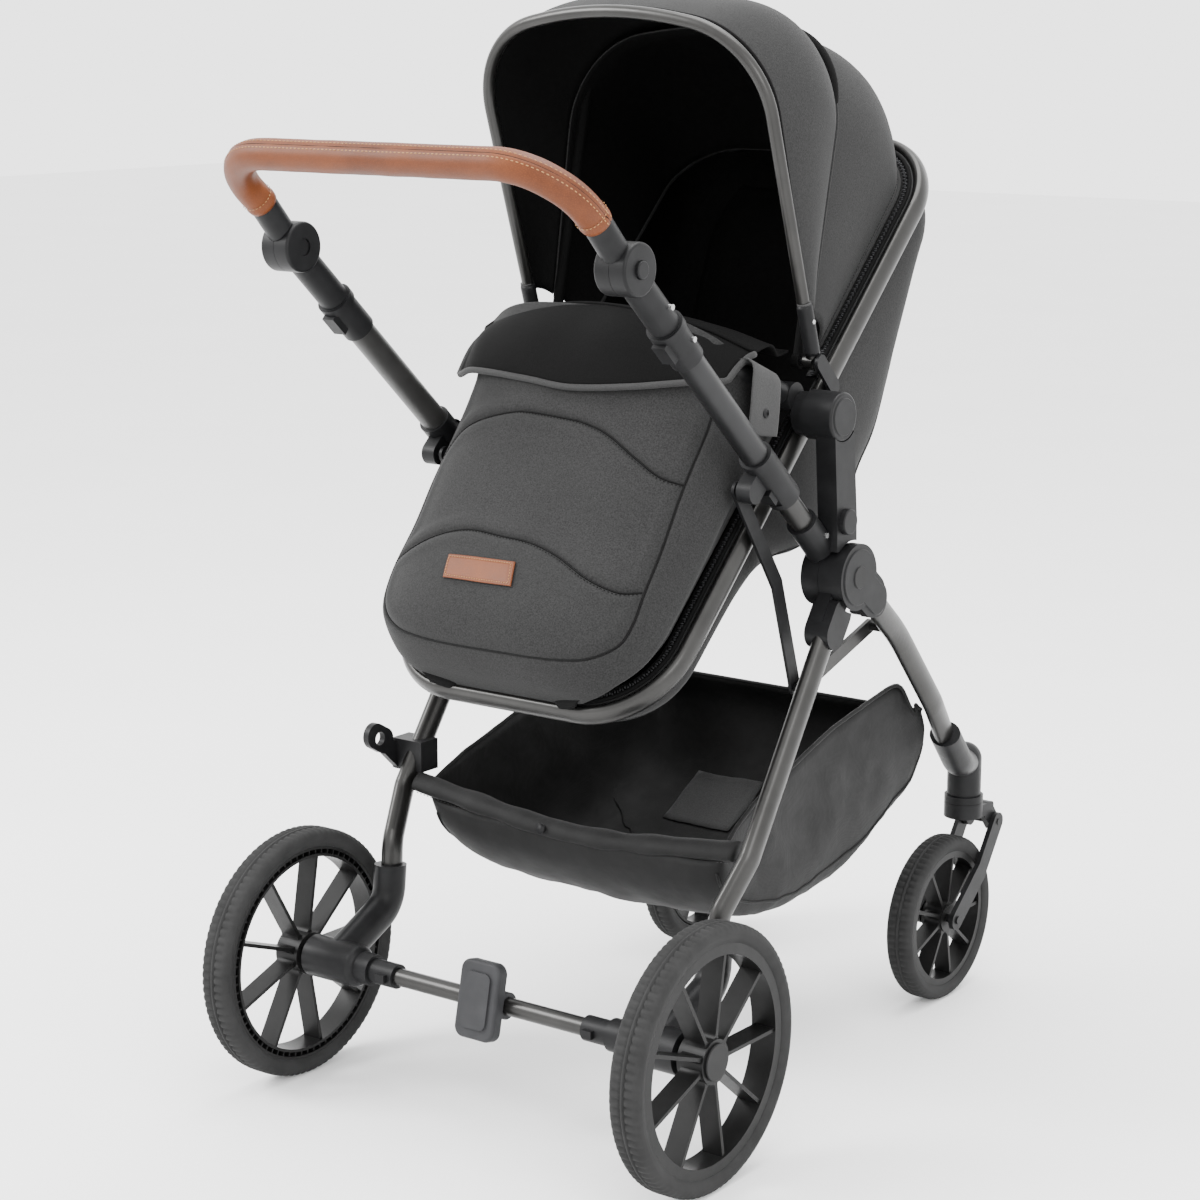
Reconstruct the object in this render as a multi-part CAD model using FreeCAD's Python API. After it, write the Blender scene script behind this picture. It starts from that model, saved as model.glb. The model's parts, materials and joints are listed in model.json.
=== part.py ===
"""Baby stroller with a reversible seat unit, a folding frame, a hood and an under-seat basket.

Millimetres, +Z up, +X to the stroller's right, +Y in the direction of travel.
Sizes are laid out with Y measured from the rear axle, and every node is moved at the end so
that the origin is on the floor under the middle of the whole stroller.
"""
import FreeCAD, Part
import math
import os

V = FreeCAD.Vector

# ---- driving dimensions ------------------------------------------------------------------
REAR_WHEEL_R = 143.5
REAR_WHEEL_X = 300.0            # outer faces of the rear tyres, so the stroller is 600 wide
REAR_TYRE_W = 38.0
REAR_RIM_R = 123.6
CASTER_WHEEL_R = 102.0
CASTER_RIM_R = 84.0
CASTER_TYRE_W = 34.0
CASTER_X = 182.0
CASTER_Y = 654.0                # wheel centre, trailing behind the swivel
SWIVEL_Y = 708.0
SPOKES = 9

HUB = (330.0, 591.0)            # (y, z) of the main folding hub
UPPER_HUB = (309.0, 769.0)      # (y, z) where the seat unit tilts
KNUCKLE = (-54.0, 953.0)        # (y, z) of the handlebar joints
HANDLE_TILT = 42.5              # degrees below the horizontal, from the knuckle to the hub
HANDLE_X = 219.0
BAR = (-166.5, 1056.0)          # (y, z) of the handlebar's cross bar
BAR_END = (-97.0, 1000.0)       # (y, z) where the leather grip ends
BAR_X = 217.0
GRIP_R = 16.5

SEAT_TILT = 44.3                # degrees, slope of the seat frame's plane
SEAT_ORIGIN = (324.9, 752.7)    # (y, z) of the point on that plane below the upper hub
SEAT_HALF_W = 184.0
SEAT_FOOT = -403.0
SEAT_HEAD = 413.5
SEAT_CORNER_R = 97.0
RAIL_DEEP = 26.0
RAIL_WIDE = 16.0

HOOD_PIVOT = (333.0, 822.0)
HOOD_HALF_W = 189.0             # centre line of the front bow
HOOD_APEX = 404.0
HOOD_SLOPE = 12.0               # degrees, fall of the crown to each side
HOOD_CORNER_R = 105.0
HOOD_CROWN_R = 480.0
BOW_R = 7.0
MID_BOW_R = 6.0
EAR_X = (196.8, 200.8)          # plates outside the front bow that hold its pivot
BOW_ANGLE = 108.0               # degrees from +Y
MID_BOW_ANGLE = 77.0
HOOD_BACK_ANGLE = 46.5
FRONT_PANEL = (-7.5, -10.5)     # outer and inner faces, measured outwards from the front bow's centre
REAR_PANEL = (-11.0, -13.5)     # nested inside the front panel

LINK_TOP = (172.0, 704.0)
LINK_BOTTOM = (289.0, 468.0)
STRUT_PIVOT = (430.0, 513.0)

RUNNING = 0.06                  # radial clearance of a shaft in its bore
GAP = 0.4                       # clearance between faces of different moving bodies

Y_BACK = BAR[0] - GRIP_R
Y_FRONT = CASTER_Y + CASTER_WHEEL_R
ORIGIN_Y = (Y_BACK + Y_FRONT) / 2


# ---- helpers -----------------------------------------------------------------------------
def unit(degrees):
    """Direction in the YZ plane, measured from +Y towards +Z."""
    a = math.radians(degrees)
    return V(0, math.cos(a), math.sin(a))


def seat_point(x, s, n):
    """Point of the seat unit: s up the frame from below the hub, n above the frame's plane."""
    base = V(x, SEAT_ORIGIN[0], SEAT_ORIGIN[1])
    return base + unit(SEAT_TILT) * s + unit(SEAT_TILT + 90) * n


def handle_point(t, off=0.0, x=HANDLE_X):
    """Point at distance t from the knuckle down the handle tube, off above its centre line."""
    base = V(x, KNUCKLE[0], KNUCKLE[1])
    return base + unit(-HANDLE_TILT) * t + unit(90 - HANDLE_TILT) * off


def hood_point(x, r, degrees):
    return V(x, HOOD_PIVOT[0], HOOD_PIVOT[1]) + unit(degrees) * r


def rod(a, b, r):
    d = b - a
    return Part.makeCylinder(r, d.Length, a, d)


def disc(x0, x1, centre, r):
    """Cylinder along X between two x values, centred on (y, z)."""
    return Part.makeCylinder(r, x1 - x0, V(x0, centre[0], centre[1]), V(1, 0, 0))


def box(x0, x1, y0, y1, z0, z1):
    return Part.makeBox(x1 - x0, y1 - y0, z1 - z0, V(x0, y0, z0))


def plate(points, x0, x1):
    """Flat plate of the (y, z) outline between two x values."""
    corners = [V(x0, y, z) for y, z in points]
    return Part.Face(Part.makePolygon(corners + corners[:1])).extrude(V(x1 - x0, 0, 0))


def slab(a, b, r, x0, x1):
    """Plate with round ends of radius r about the (y, z) points a and b."""
    pa = V(0, a[0], a[1])
    pb = V(0, b[0], b[1])
    side = (pb - pa).normalize().cross(V(1, 0, 0)) * r
    quad = [pa + side, pb + side, pb - side, pa - side]
    body = plate([(p.y, p.z) for p in quad], x0, x1)
    return body.fuse([disc(x0, x1, a, r), disc(x0, x1, b, r)]).removeSplitter()


def rounded_wire(points, radii, closed=False):
    """Straight runs through the points, each corner turned by an arc of its own radius."""
    count = len(points)
    corners = range(count) if closed else range(1, count - 1)
    entry = {}
    edges = []
    for i in corners:
        before = (points[i] - points[i - 1]).normalize()
        after = (points[(i + 1) % count] - points[i]).normalize()
        turn = before.getAngle(after)
        radius = radii[i] if isinstance(radii, (list, tuple)) else radii
        trim = radius * math.tan(turn / 2)
        start = points[i] - before * trim
        end = points[i] + after * trim
        inward = (after - before).normalize()
        middle = points[i] + inward * (radius / math.cos(turn / 2) - radius)
        entry[i] = (start, middle, end)
    last = points[count - 1] if not closed else entry[count - 1][2]
    at = points[0] if not closed else last
    for i in corners:
        start, middle, end = entry[i]
        if (start - at).Length > 1e-6:
            edges.append(Part.LineSegment(at, start).toShape())
        edges.append(Part.Arc(start, middle, end).toShape())
        at = end
    if not closed:
        edges.append(Part.LineSegment(at, last).toShape())
    return Part.Wire(edges)


def sweep(wire, across, wide, thick):
    """Solid of oval section along the wire: wide along the direction across, thick the other way."""
    first = wire.OrderedEdges[0]
    start = first.valueAt(first.FirstParameter)
    tangent = first.tangentAt(first.FirstParameter).normalize()
    if (start - wire.OrderedVertexes[0].Point).Length > 1e-6:
        start = wire.OrderedVertexes[0].Point
        tangent = first.tangentAt(first.LastParameter).normalize() * -1
    side = (across - tangent * across.dot(tangent)).normalize()
    up = tangent.cross(side)
    turn = FreeCAD.Rotation(side, up, tangent, "XYZ")
    if wide == thick:
        oval = Part.Circle(V(0, 0, 0), V(0, 0, 1), wide / 2)
    elif wide > thick:
        oval = Part.Ellipse(V(0, 0, 0), wide / 2, thick / 2)
    else:
        oval = Part.Ellipse(V(0, 0, 0), thick / 2, wide / 2)
        turn = FreeCAD.Rotation(up, side * -1, tangent, "XYZ")
    section = Part.Wire([oval.toShape()])
    section.Placement = FreeCAD.Placement(start, turn)
    maker = Part.BRepOffsetAPI.MakePipeShell(wire)
    maker.setBiNormalMode(across)
    maker.add(section)
    maker.build()
    maker.makeSolid()
    return maker.shape()


def tube(points, radii, across, wide, thick, wall):
    """Hollow tube of oval section."""
    wire = rounded_wire(points, radii)
    outer = sweep(wire, across, wide, thick)
    inner = sweep(wire, across, wide - 2 * wall, thick - 2 * wall)
    return outer.cut(inner)


def ring(x0, x1, centre, outer, inner):
    return disc(x0, x1, centre, outer).cut(disc(x0 - 1, x1 + 1, centre, inner))


def round_edges(shape, radius, keep):
    """Fillets the edges that keep() picks by their middle point."""
    edges = [e for e in shape.Edges if keep(e)]
    return shape.makeFillet(radius, edges)


def flip(shape):
    return shape.mirror(V(0, 0, 0), V(1, 0, 0))


def both(*shapes):
    """The right-hand solids and their left-hand mirror images."""
    return list(shapes) + [flip(s) for s in shapes]


def side_of(side, shape):
    return shape if side == "right" else flip(shape)


def write(node, shapes):
    """Writes one node: all its solids, moved so that the origin is under the stroller's middle."""
    solids = []
    for shape in shapes if isinstance(shapes, list) else [shapes]:
        solids += shape.Solids
    group = Part.makeCompound([s.translated(V(0, -ORIGIN_Y, 0)) for s in solids])
    if not group.isValid():
        print("INVALID", node)
    group.exportStep(os.path.join("parts", node + ".step"))


# ---- wheels ------------------------------------------------------------------------------
def revolve_x(points, centre):
    """Solid of revolution about the X line through centre, from (x, radius) points."""
    corners = [V(x, centre[0], centre[1] + r) for x, r in points]
    face = Part.Face(Part.makePolygon(corners + corners[:1]))
    return face.revolve(V(0, centre[0], centre[1]), V(1, 0, 0), 360)


def tyre(x0, width, centre, outer, inner):
    """Tyre with a flat tread, rounded shoulders and slightly bulged sides."""
    shoulder = width * 0.24
    steps = 5
    right = []
    for i in range(steps + 1):
        a = math.radians(90 * i / steps)
        right.append((width - shoulder + shoulder * math.sin(a), outer - shoulder + shoulder * math.cos(a)))
    left = [(width - x, r) for x, r in reversed(right)]
    foot = width * 0.1
    profile = left + right + [(width - foot, inner), (foot, inner)]
    return revolve_x([(x0 + x, r) for x, r in profile], centre)


def spoked_rim(x0, x1, centre, seat, hub_r, bore, channel_open):
    """Rim with a double-walled ring, thin deep spokes and a hub. channel_open is the side of the
    ring's groove: the groove opens towards that x value."""
    wall = 3.2
    ring_in = seat - 0.095 * seat
    web = 5.0
    body = ring(x0, x1, centre, seat, ring_in)
    groove = ring(x0, x1 - web, centre, seat - wall, ring_in + wall)
    body = body.cut(groove) if channel_open == x0 else body
    blade = 4.2
    spoke_x0 = x0 + 3
    spoke_x1 = x1 - 2
    half = math.pi / SPOKES
    fillet = hub_r * 0.36
    at = (fillet + blade / 2) / math.sin(half)
    web_disc = ring(spoke_x0, spoke_x1, centre, ring_in + 0.5, bore + 2)
    windows = []
    for k in range(SPOKES):
        mid = 2 * half * k + half
        out = ring_in - 0.01
        reach = math.sqrt(out * out - blade * blade / 4)
        p = []
        for sign in (-1, 1):
            ray = V(0, math.cos(mid + sign * half), math.sin(mid + sign * half))
            inside = V(0, -ray.z, ray.y) * (-sign)
            touch = at * math.cos(half)
            p.append((ray * touch + inside * (blade / 2), ray * reach + inside * (blade / 2)))
        bis = V(0, math.cos(mid), math.sin(mid))
        edges = [
            Part.LineSegment(p[0][0], p[0][1]).toShape(),
            Part.Arc(p[0][1], bis * out, p[1][1]).toShape(),
            Part.LineSegment(p[1][1], p[1][0]).toShape(),
            Part.Arc(p[1][0], bis * (at - fillet), p[0][0]).toShape(),
        ]
        face = Part.Face(Part.Wire(edges))
        face.translate(V(spoke_x0 - 5, centre[0], centre[1]))
        windows.append(face.extrude(V(spoke_x1 - spoke_x0 + 10, 0, 0)))
    web_disc = web_disc.cut(windows)
    hub = ring(x0 - 2, x1, centre, hub_r, bore)
    return body.fuse([web_disc, hub]).cut(disc(x0 - 10, x1 + 10, centre, bore)).removeSplitter()


REAR_AXLE = (0.0, REAR_WHEEL_R)
REAR_AXLE_R = 6.0
AXLE_END = 294.0                # just inside the hub caps
CASTER_AXLE = (CASTER_Y, CASTER_WHEEL_R)
CASTER_AXLE_R = 5.0


def rear_wheels():
    x0 = REAR_WHEEL_X - REAR_TYRE_W
    rubber = tyre(x0, REAR_TYRE_W, REAR_AXLE, REAR_WHEEL_R, REAR_RIM_R)
    rim_in = x0 + 4
    rim_out = REAR_WHEEL_X - 4
    rim = spoked_rim(rim_in, rim_out, REAR_AXLE, REAR_RIM_R, 24.0, REAR_AXLE_R + RUNNING, rim_in)
    cap = disc(rim_out, rim_out + 3, REAR_AXLE, 20.0)
    cap = cap.makeFillet(1.4, [e for e in cap.Edges if e.CenterOfMass.x > rim_out + 2.5])
    for side in ("left", "right"):
        write("rear_tyre_" + side, side_of(side, rubber))
        write("rear_rim_" + side, side_of(side, rim))
        write("rear_hub_cap_" + side, side_of(side, cap))


def caster_wheels():
    x0 = CASTER_X - CASTER_TYRE_W / 2
    rubber = tyre(x0, CASTER_TYRE_W, CASTER_AXLE, CASTER_WHEEL_R, CASTER_RIM_R)
    rim_in = x0 + 4
    rim_out = x0 + CASTER_TYRE_W - 4
    rim = spoked_rim(rim_in, rim_out, CASTER_AXLE, CASTER_RIM_R, 17.0, CASTER_AXLE_R + RUNNING, rim_in)
    for side in ("left", "right"):
        write("caster_tyre_" + side, side_of(side, rubber))
        write("caster_rim_" + side, side_of(side, rim))


# ---- casters -----------------------------------------------------------------------------
SWIVEL_PIN_R = 8.0
HOUSING_BASE = 238.0
SUSPENSION = (751.0, 205.0)     # (y, z) pivot of the sprung arms
ARM_IN = CASTER_TYRE_W / 2 + 3.5
ARM_OUT = ARM_IN + 6.0


def caster_forks():
    """Swivel head: a pin up into the leg, a crown, and two cheeks that carry the sprung arms."""
    pin = rod(V(CASTER_X, SWIVEL_Y, 228), V(CASTER_X, SWIVEL_Y, 284), SWIVEL_PIN_R)
    crown = rod(V(CASTER_X, SWIVEL_Y, 219), V(CASTER_X, SWIVEL_Y, HOUSING_BASE - GAP), 24)
    cheek_w = ARM_IN - GAP
    bridge = box(CASTER_X - cheek_w, CASTER_X + cheek_w, SWIVEL_Y - 4, SUSPENSION[0] - 2, 217, 232)
    bridge = round_edges(bridge, 5, lambda e: abs(e.tangentAt(e.FirstParameter).x) > 0.9)
    cheeks = []
    for sign in (-1, 1):
        inner = CASTER_X + sign * (cheek_w - 8)
        outer = CASTER_X + sign * cheek_w
        cheeks.append(slab((SUSPENSION[0] - 14, 222), SUSPENSION, 11, min(inner, outer), max(inner, outer)))
    fork = pin.fuse([crown, bridge] + cheeks).removeSplitter()
    fork = fork.cut(disc(CASTER_X - 40, CASTER_X + 40, SUSPENSION, 4 + RUNNING))
    for side in ("left", "right"):
        write("caster_fork_" + side, side_of(side, fork))


def caster_arms():
    """Sprung trailing arms: a plate each side of the wheel, with the wheel's axle."""
    plates = []
    for sign in (-1, 1):
        inner = CASTER_X + sign * ARM_IN
        outer = CASTER_X + sign * ARM_OUT
        x0, x1 = min(inner, outer), max(inner, outer)
        upper = slab(SUSPENSION, (712, 150), 11.5, x0, x1)
        lower = slab((712, 150), CASTER_AXLE, 12.5, x0, x1)
        plates += [upper, lower]
    axle = disc(CASTER_X - ARM_OUT - 2, CASTER_X + ARM_OUT + 2, CASTER_AXLE, CASTER_AXLE_R)
    pivot = disc(CASTER_X - ARM_OUT - 1, CASTER_X + ARM_OUT + 1, SUSPENSION, 4)
    arm = axle.fuse(plates + [pivot]).removeSplitter()
    for side in ("left", "right"):
        write("caster_arm_" + side, side_of(side, arm))


def caster_housings():
    """Plastic elbow at the foot of each front leg, with the bore for the swivel pin."""
    elbow_wire = rounded_wire([V(212, 604, 350), V(200, 660, 300), V(CASTER_X, SWIVEL_Y, 288)], 60)
    elbow = sweep(elbow_wire, V(1, 0, 0), 38, 34)
    post = rod(V(CASTER_X, SWIVEL_Y, HOUSING_BASE), V(CASTER_X, SWIVEL_Y, 292), 21)
    flange = rod(V(CASTER_X, SWIVEL_Y, HOUSING_BASE), V(CASTER_X, SWIVEL_Y, HOUSING_BASE + 9), 24)
    dome = Part.makeSphere(21, V(CASTER_X, SWIVEL_Y, 292))
    bore = rod(V(CASTER_X, SWIVEL_Y, 230), V(CASTER_X, SWIVEL_Y, 285), SWIVEL_PIN_R + RUNNING)
    slot = lock_slot()
    housing = elbow.fuse([post, flange, dome]).cut([front_leg_bore(), bore, slot]).removeSplitter()
    write("caster_housings", both(housing))


def lock_slot():
    return box(CASTER_X - 7.5, CASTER_X + 7.5, SWIVEL_Y + 15, SWIVEL_Y + 40, 250, 284)


def swivel_locks():
    """Tab on the front of each housing that slides down to hold the caster straight."""
    tab = box(CASTER_X - 7, CASTER_X + 7, SWIVEL_Y + 15.5, SWIVEL_Y + 27, 259, 283)
    tab = round_edges(tab, 3, lambda e: e.CenterOfMass.y > SWIVEL_Y + 26)
    for side in ("left", "right"):
        write("swivel_lock_" + side, side_of(side, tab))


# ---- front frame -------------------------------------------------------------------------
COVER_X = (241.0, 255.0)
MIDDLE_X = (224.4, 240.6)
INNER_X = (202.0, 224.0)
HUB_R = 37.0


FRONT_LEG = [V(247, 348, 577), V(231, 455, 502), V(222, 556, 399), V(205, 627, 327)]
FRONT_LEG_RADII = [0, 260, 110, 0]
LEG_WIDE = 20.0
LEG_DEEP = 30.0
LEG_WALL = 2.0


def front_leg_bore():
    """Room for a front leg in the plastic parts it is pushed into."""
    wire = rounded_wire(FRONT_LEG, FRONT_LEG_RADII)
    return sweep(wire, V(1, 0, 0), LEG_WIDE + GAP, LEG_DEEP + GAP)


REAR_SWING = 45


SOCKET_END = (297, 543)


def rear_socket(r, x0, x1):
    """Socket that holds a rear leg, just below the hub."""
    return slab((304, 553), (291, 534), r, x0, x1)


def swing_room():
    """Space a rear leg's socket sweeps through as the frame folds."""
    room = []
    for turn in range(0, REAR_SWING + 5, 5):
        for place in (rear_socket(18.5, 219, 253), slab(HUB, SOCKET_END, 19.6, 219, MIDDLE_X[1] + 0.2)):
            place.rotate(V(0, HUB[0], HUB[1]), V(1, 0, 0), turn)
            room.append(place)
    return room


def front_frame():
    legs = tube(FRONT_LEG, FRONT_LEG_RADII, V(1, 0, 0), LEG_WIDE, LEG_DEEP, LEG_WALL)
    clear = disc(200, COVER_X[0], HUB, HUB_R + 2)
    leg = legs.cut([clear, disc(COVER_X[0], 260, HUB, HUB_R)])
    leg = leg.cut(swing_room()).fuse(disc(205.4, 226, STRUT_PIVOT, 5)).removeSplitter()
    write("front_legs", both(leg))
    nose = slab((356, 571), (372, 559), 20, 226, COVER_X[1] - 1).cut(disc(200, COVER_X[0], HUB, HUB_R + 2))
    bridge = slab(HUB, (364, 564), 24, COVER_X[0], COVER_X[1] - 1)
    cover = disc(COVER_X[0], COVER_X[1], HUB, HUB_R).fuse([bridge, nose])
    cover = cover.cut([front_leg_bore()] + swing_room()).removeSplitter()
    pin = disc(INNER_X[0], COVER_X[0] + 4, HUB, 8)
    cover = cover.fuse(pin).removeSplitter()
    write("hub_outer_covers", both(cover))


BASKET_HALF_W = 206.0
BASKET_WALL = 4.0
BASKET_SIDE = [(143, 316), (148, 272), (176, 234), (270, 197), (350, 186), (440, 190), (520, 212),
               (575, 255), (590, 340), (556, 392), (490, 427), (216, 402)]


def inset(points, amount):
    """The open outline moved inwards, to the left of its direction."""
    moved = []
    for i, (y, z) in enumerate(points):
        before = points[max(i - 1, 0)]
        after = points[min(i + 1, len(points) - 1)]
        along = V(0, after[0] - before[0], after[1] - before[1]).normalize()
        moved.append((y - along.z * amount, z + along.y * amount))
    return moved


def basket():
    belly = BASKET_SIDE[:-1]
    wall = plate(belly + list(reversed(inset(belly, BASKET_WALL))), -BASKET_HALF_W, BASKET_HALF_W)
    sides = []
    for x in (-BASKET_HALF_W, BASKET_HALF_W - BASKET_WALL):
        sides.append(plate(BASKET_SIDE, x, x + BASKET_WALL))
    write("basket", wall.fuse(sides).removeSplitter())
    hem = [V(-BASKET_HALF_W, 133, 310), V(0, 133, 304), V(BASKET_HALF_W, 133, 310)]
    hem_line = rounded_wire(hem, [0, 300, 0])
    write("basket_hem", sweep(hem_line, V(0, 0, 1), 28, 18))


# ---- rear frame --------------------------------------------------------------------------
LEG_TOP = V(232.5, 322, 578)
REAR_LEG = [LEG_TOP, V(238, 286, 526), V(241, 140, 313), V(228, 103, 258), V(228, 100, 205)]
REAR_LEG_RADII = [0, 200, 42, 42, 0]


def rear_leg_solid():
    return sweep(rounded_wire(REAR_LEG, REAR_LEG_RADII), V(1, 0, 0), LEG_WIDE, LEG_DEEP)


def rear_frame():
    leg = tube(REAR_LEG, REAR_LEG_RADII, V(1, 0, 0), LEG_WIDE, LEG_DEEP, LEG_WALL)
    keep_out = disc(MIDDLE_X[1], 260, HUB, HUB_R + 3).fuse(disc(200, MIDDLE_X[0], HUB, HUB_R + 3))
    leg = leg.cut([keep_out, disc(MIDDLE_X[0], MIDDLE_X[1], HUB, HUB_R - 3)])
    write("rear_legs", both(leg))
    middle = disc(MIDDLE_X[0], MIDDLE_X[1], HUB, HUB_R - 1)
    sock = slab(HUB, SOCKET_END, 19, MIDDLE_X[0], MIDDLE_X[1])
    wide = rear_socket(18, 221, 251).cut([disc(180, 270, HUB, HUB_R + 3)])
    leg_solid = rear_leg_solid()
    leg_room = leg_solid.cut(disc(200, 260, HUB, HUB_R - 3))
    middle = middle.fuse([sock, wide]).cut([leg_room, disc(180, 270, HUB, 8 + RUNNING)])
    write("hub_middle_housings", both(middle.removeSplitter()))

    axle_tube = rod(V(-150, 0, REAR_AXLE[1]), V(150, 0, REAR_AXLE[1]), 10)
    axle_tube = axle_tube.cut(rod(V(-151, 0, REAR_AXLE[1]), V(151, 0, REAR_AXLE[1]), 8))
    write("axle_tube", axle_tube)
    collar = ring(132, 160, REAR_AXLE, 14, 10).fuse(disc(150, 166, REAR_AXLE, 14))
    screw_boss = box(138, 150, -19, -8, 139, 148)
    write("axle_collars", both(collar.fuse(screw_boss).cut(disc(130, 150, REAR_AXLE, 10)).removeSplitter()))

    housing = disc(184, 257, REAR_AXLE, 24)
    housing = round_edges(housing, 9, lambda e: e.CenterOfMass.x < 186)
    neck = disc(166, 186, REAR_AXLE, 18)
    arm = sweep(rounded_wire([V(228, 99, 232), V(228, 94, 186), V(224, 2, 146)], 34), V(1, 0, 0), 34, 42)
    bracket = housing.fuse([neck, arm])
    bracket = bracket.cut([leg_solid, disc(160, 262, REAR_AXLE, REAR_AXLE_R)])
    write("axle_brackets", both(bracket.removeSplitter()))
    write("wheel_axles", both(disc(176, AXLE_END, REAR_AXLE, REAR_AXLE_R)))


HOOK_EYE = (-262.0, 120.0, 372.0)
HOOK_EYE_R = 8.0


def accessory_hook():
    """Clip bracket on the left rear leg, with an eye that an accessory such as a cup holder hangs on."""
    x, y, z = HOOK_EYE
    eye = slab((y - 6, z + 4), (y + 8, z - 4), 15, x - 5, x + 3)
    arm = plate([(y, z + 10), (y + 34, z - 14), (y + 34, z - 44), (y + 8, z - 20)], x - 5, x + 3)
    clamp = box(x - 5, -223, y + 30, y + 60, z - 42, z - 6)
    hook = eye.fuse([arm, clamp])
    hook = hook.cut([flip(rear_leg_solid()), disc(x - 20, x + 20, (y, z), HOOK_EYE_R)])
    biggest = max(hook.Solids, key=lambda s: s.Volume)
    write("accessory_hook", biggest)


def brake_pedal():
    """Foot pedal that turns on the axle tube."""
    clamp = ring(-24, 24, REAR_AXLE, 15, 10 + RUNNING)
    tilt = 12.0
    plate_solid = box(-27, 27, -26, -12, REAR_AXLE[1] - 40, REAR_AXLE[1] + 46)
    plate_solid = round_edges(plate_solid, 12, lambda e: abs(e.tangentAt(e.FirstParameter).y) > 0.9)
    plate_solid = round_edges(plate_solid, 4, lambda e: e.CenterOfMass.y < -25)
    plate_solid.rotate(V(0, 0, REAR_AXLE[1]), V(1, 0, 0), -tilt)
    pedal = clamp.fuse(plate_solid).cut(disc(-30, 30, REAR_AXLE, 10 + RUNNING)).removeSplitter()
    write("brake_pedal", pedal)
    pad = box(-17, 17, -28.5, -26, REAR_AXLE[1] - 28, REAR_AXLE[1] + 34)
    pad = round_edges(pad, 8, lambda e: abs(e.tangentAt(e.FirstParameter).y) > 0.9)
    pad.rotate(V(0, 0, REAR_AXLE[1]), V(1, 0, 0), -tilt)
    write("pedal_pad", pad)


# ---- push frame --------------------------------------------------------------------------
RISER_X = (220.0, 245.0)
UPPER_HUB_R = 27.0
UPPER_HUB_X = (205.0, 245.0)
SEAT_PIN_R = 8.0
SLEEVE_ENDS = (29.0, 88.0, 142.0)
COLLAR_ENDS = (312.0, 388.0)
TUBE_END = 470.0
TUBE_R = 13.0


def screws():
    """Screws on the outer side of each handle tube, as (distance, height, head's x)."""
    solids = []
    for t, off, head_x in ((66, 6, 19.5), (118, 6, 19.5), (466, 4, 18.5)):
        at = handle_point(t, off, HANDLE_X + 12)
        solids.append(rod(at, handle_point(t, off, HANDLE_X + head_x), 3))
    return solids


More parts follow.
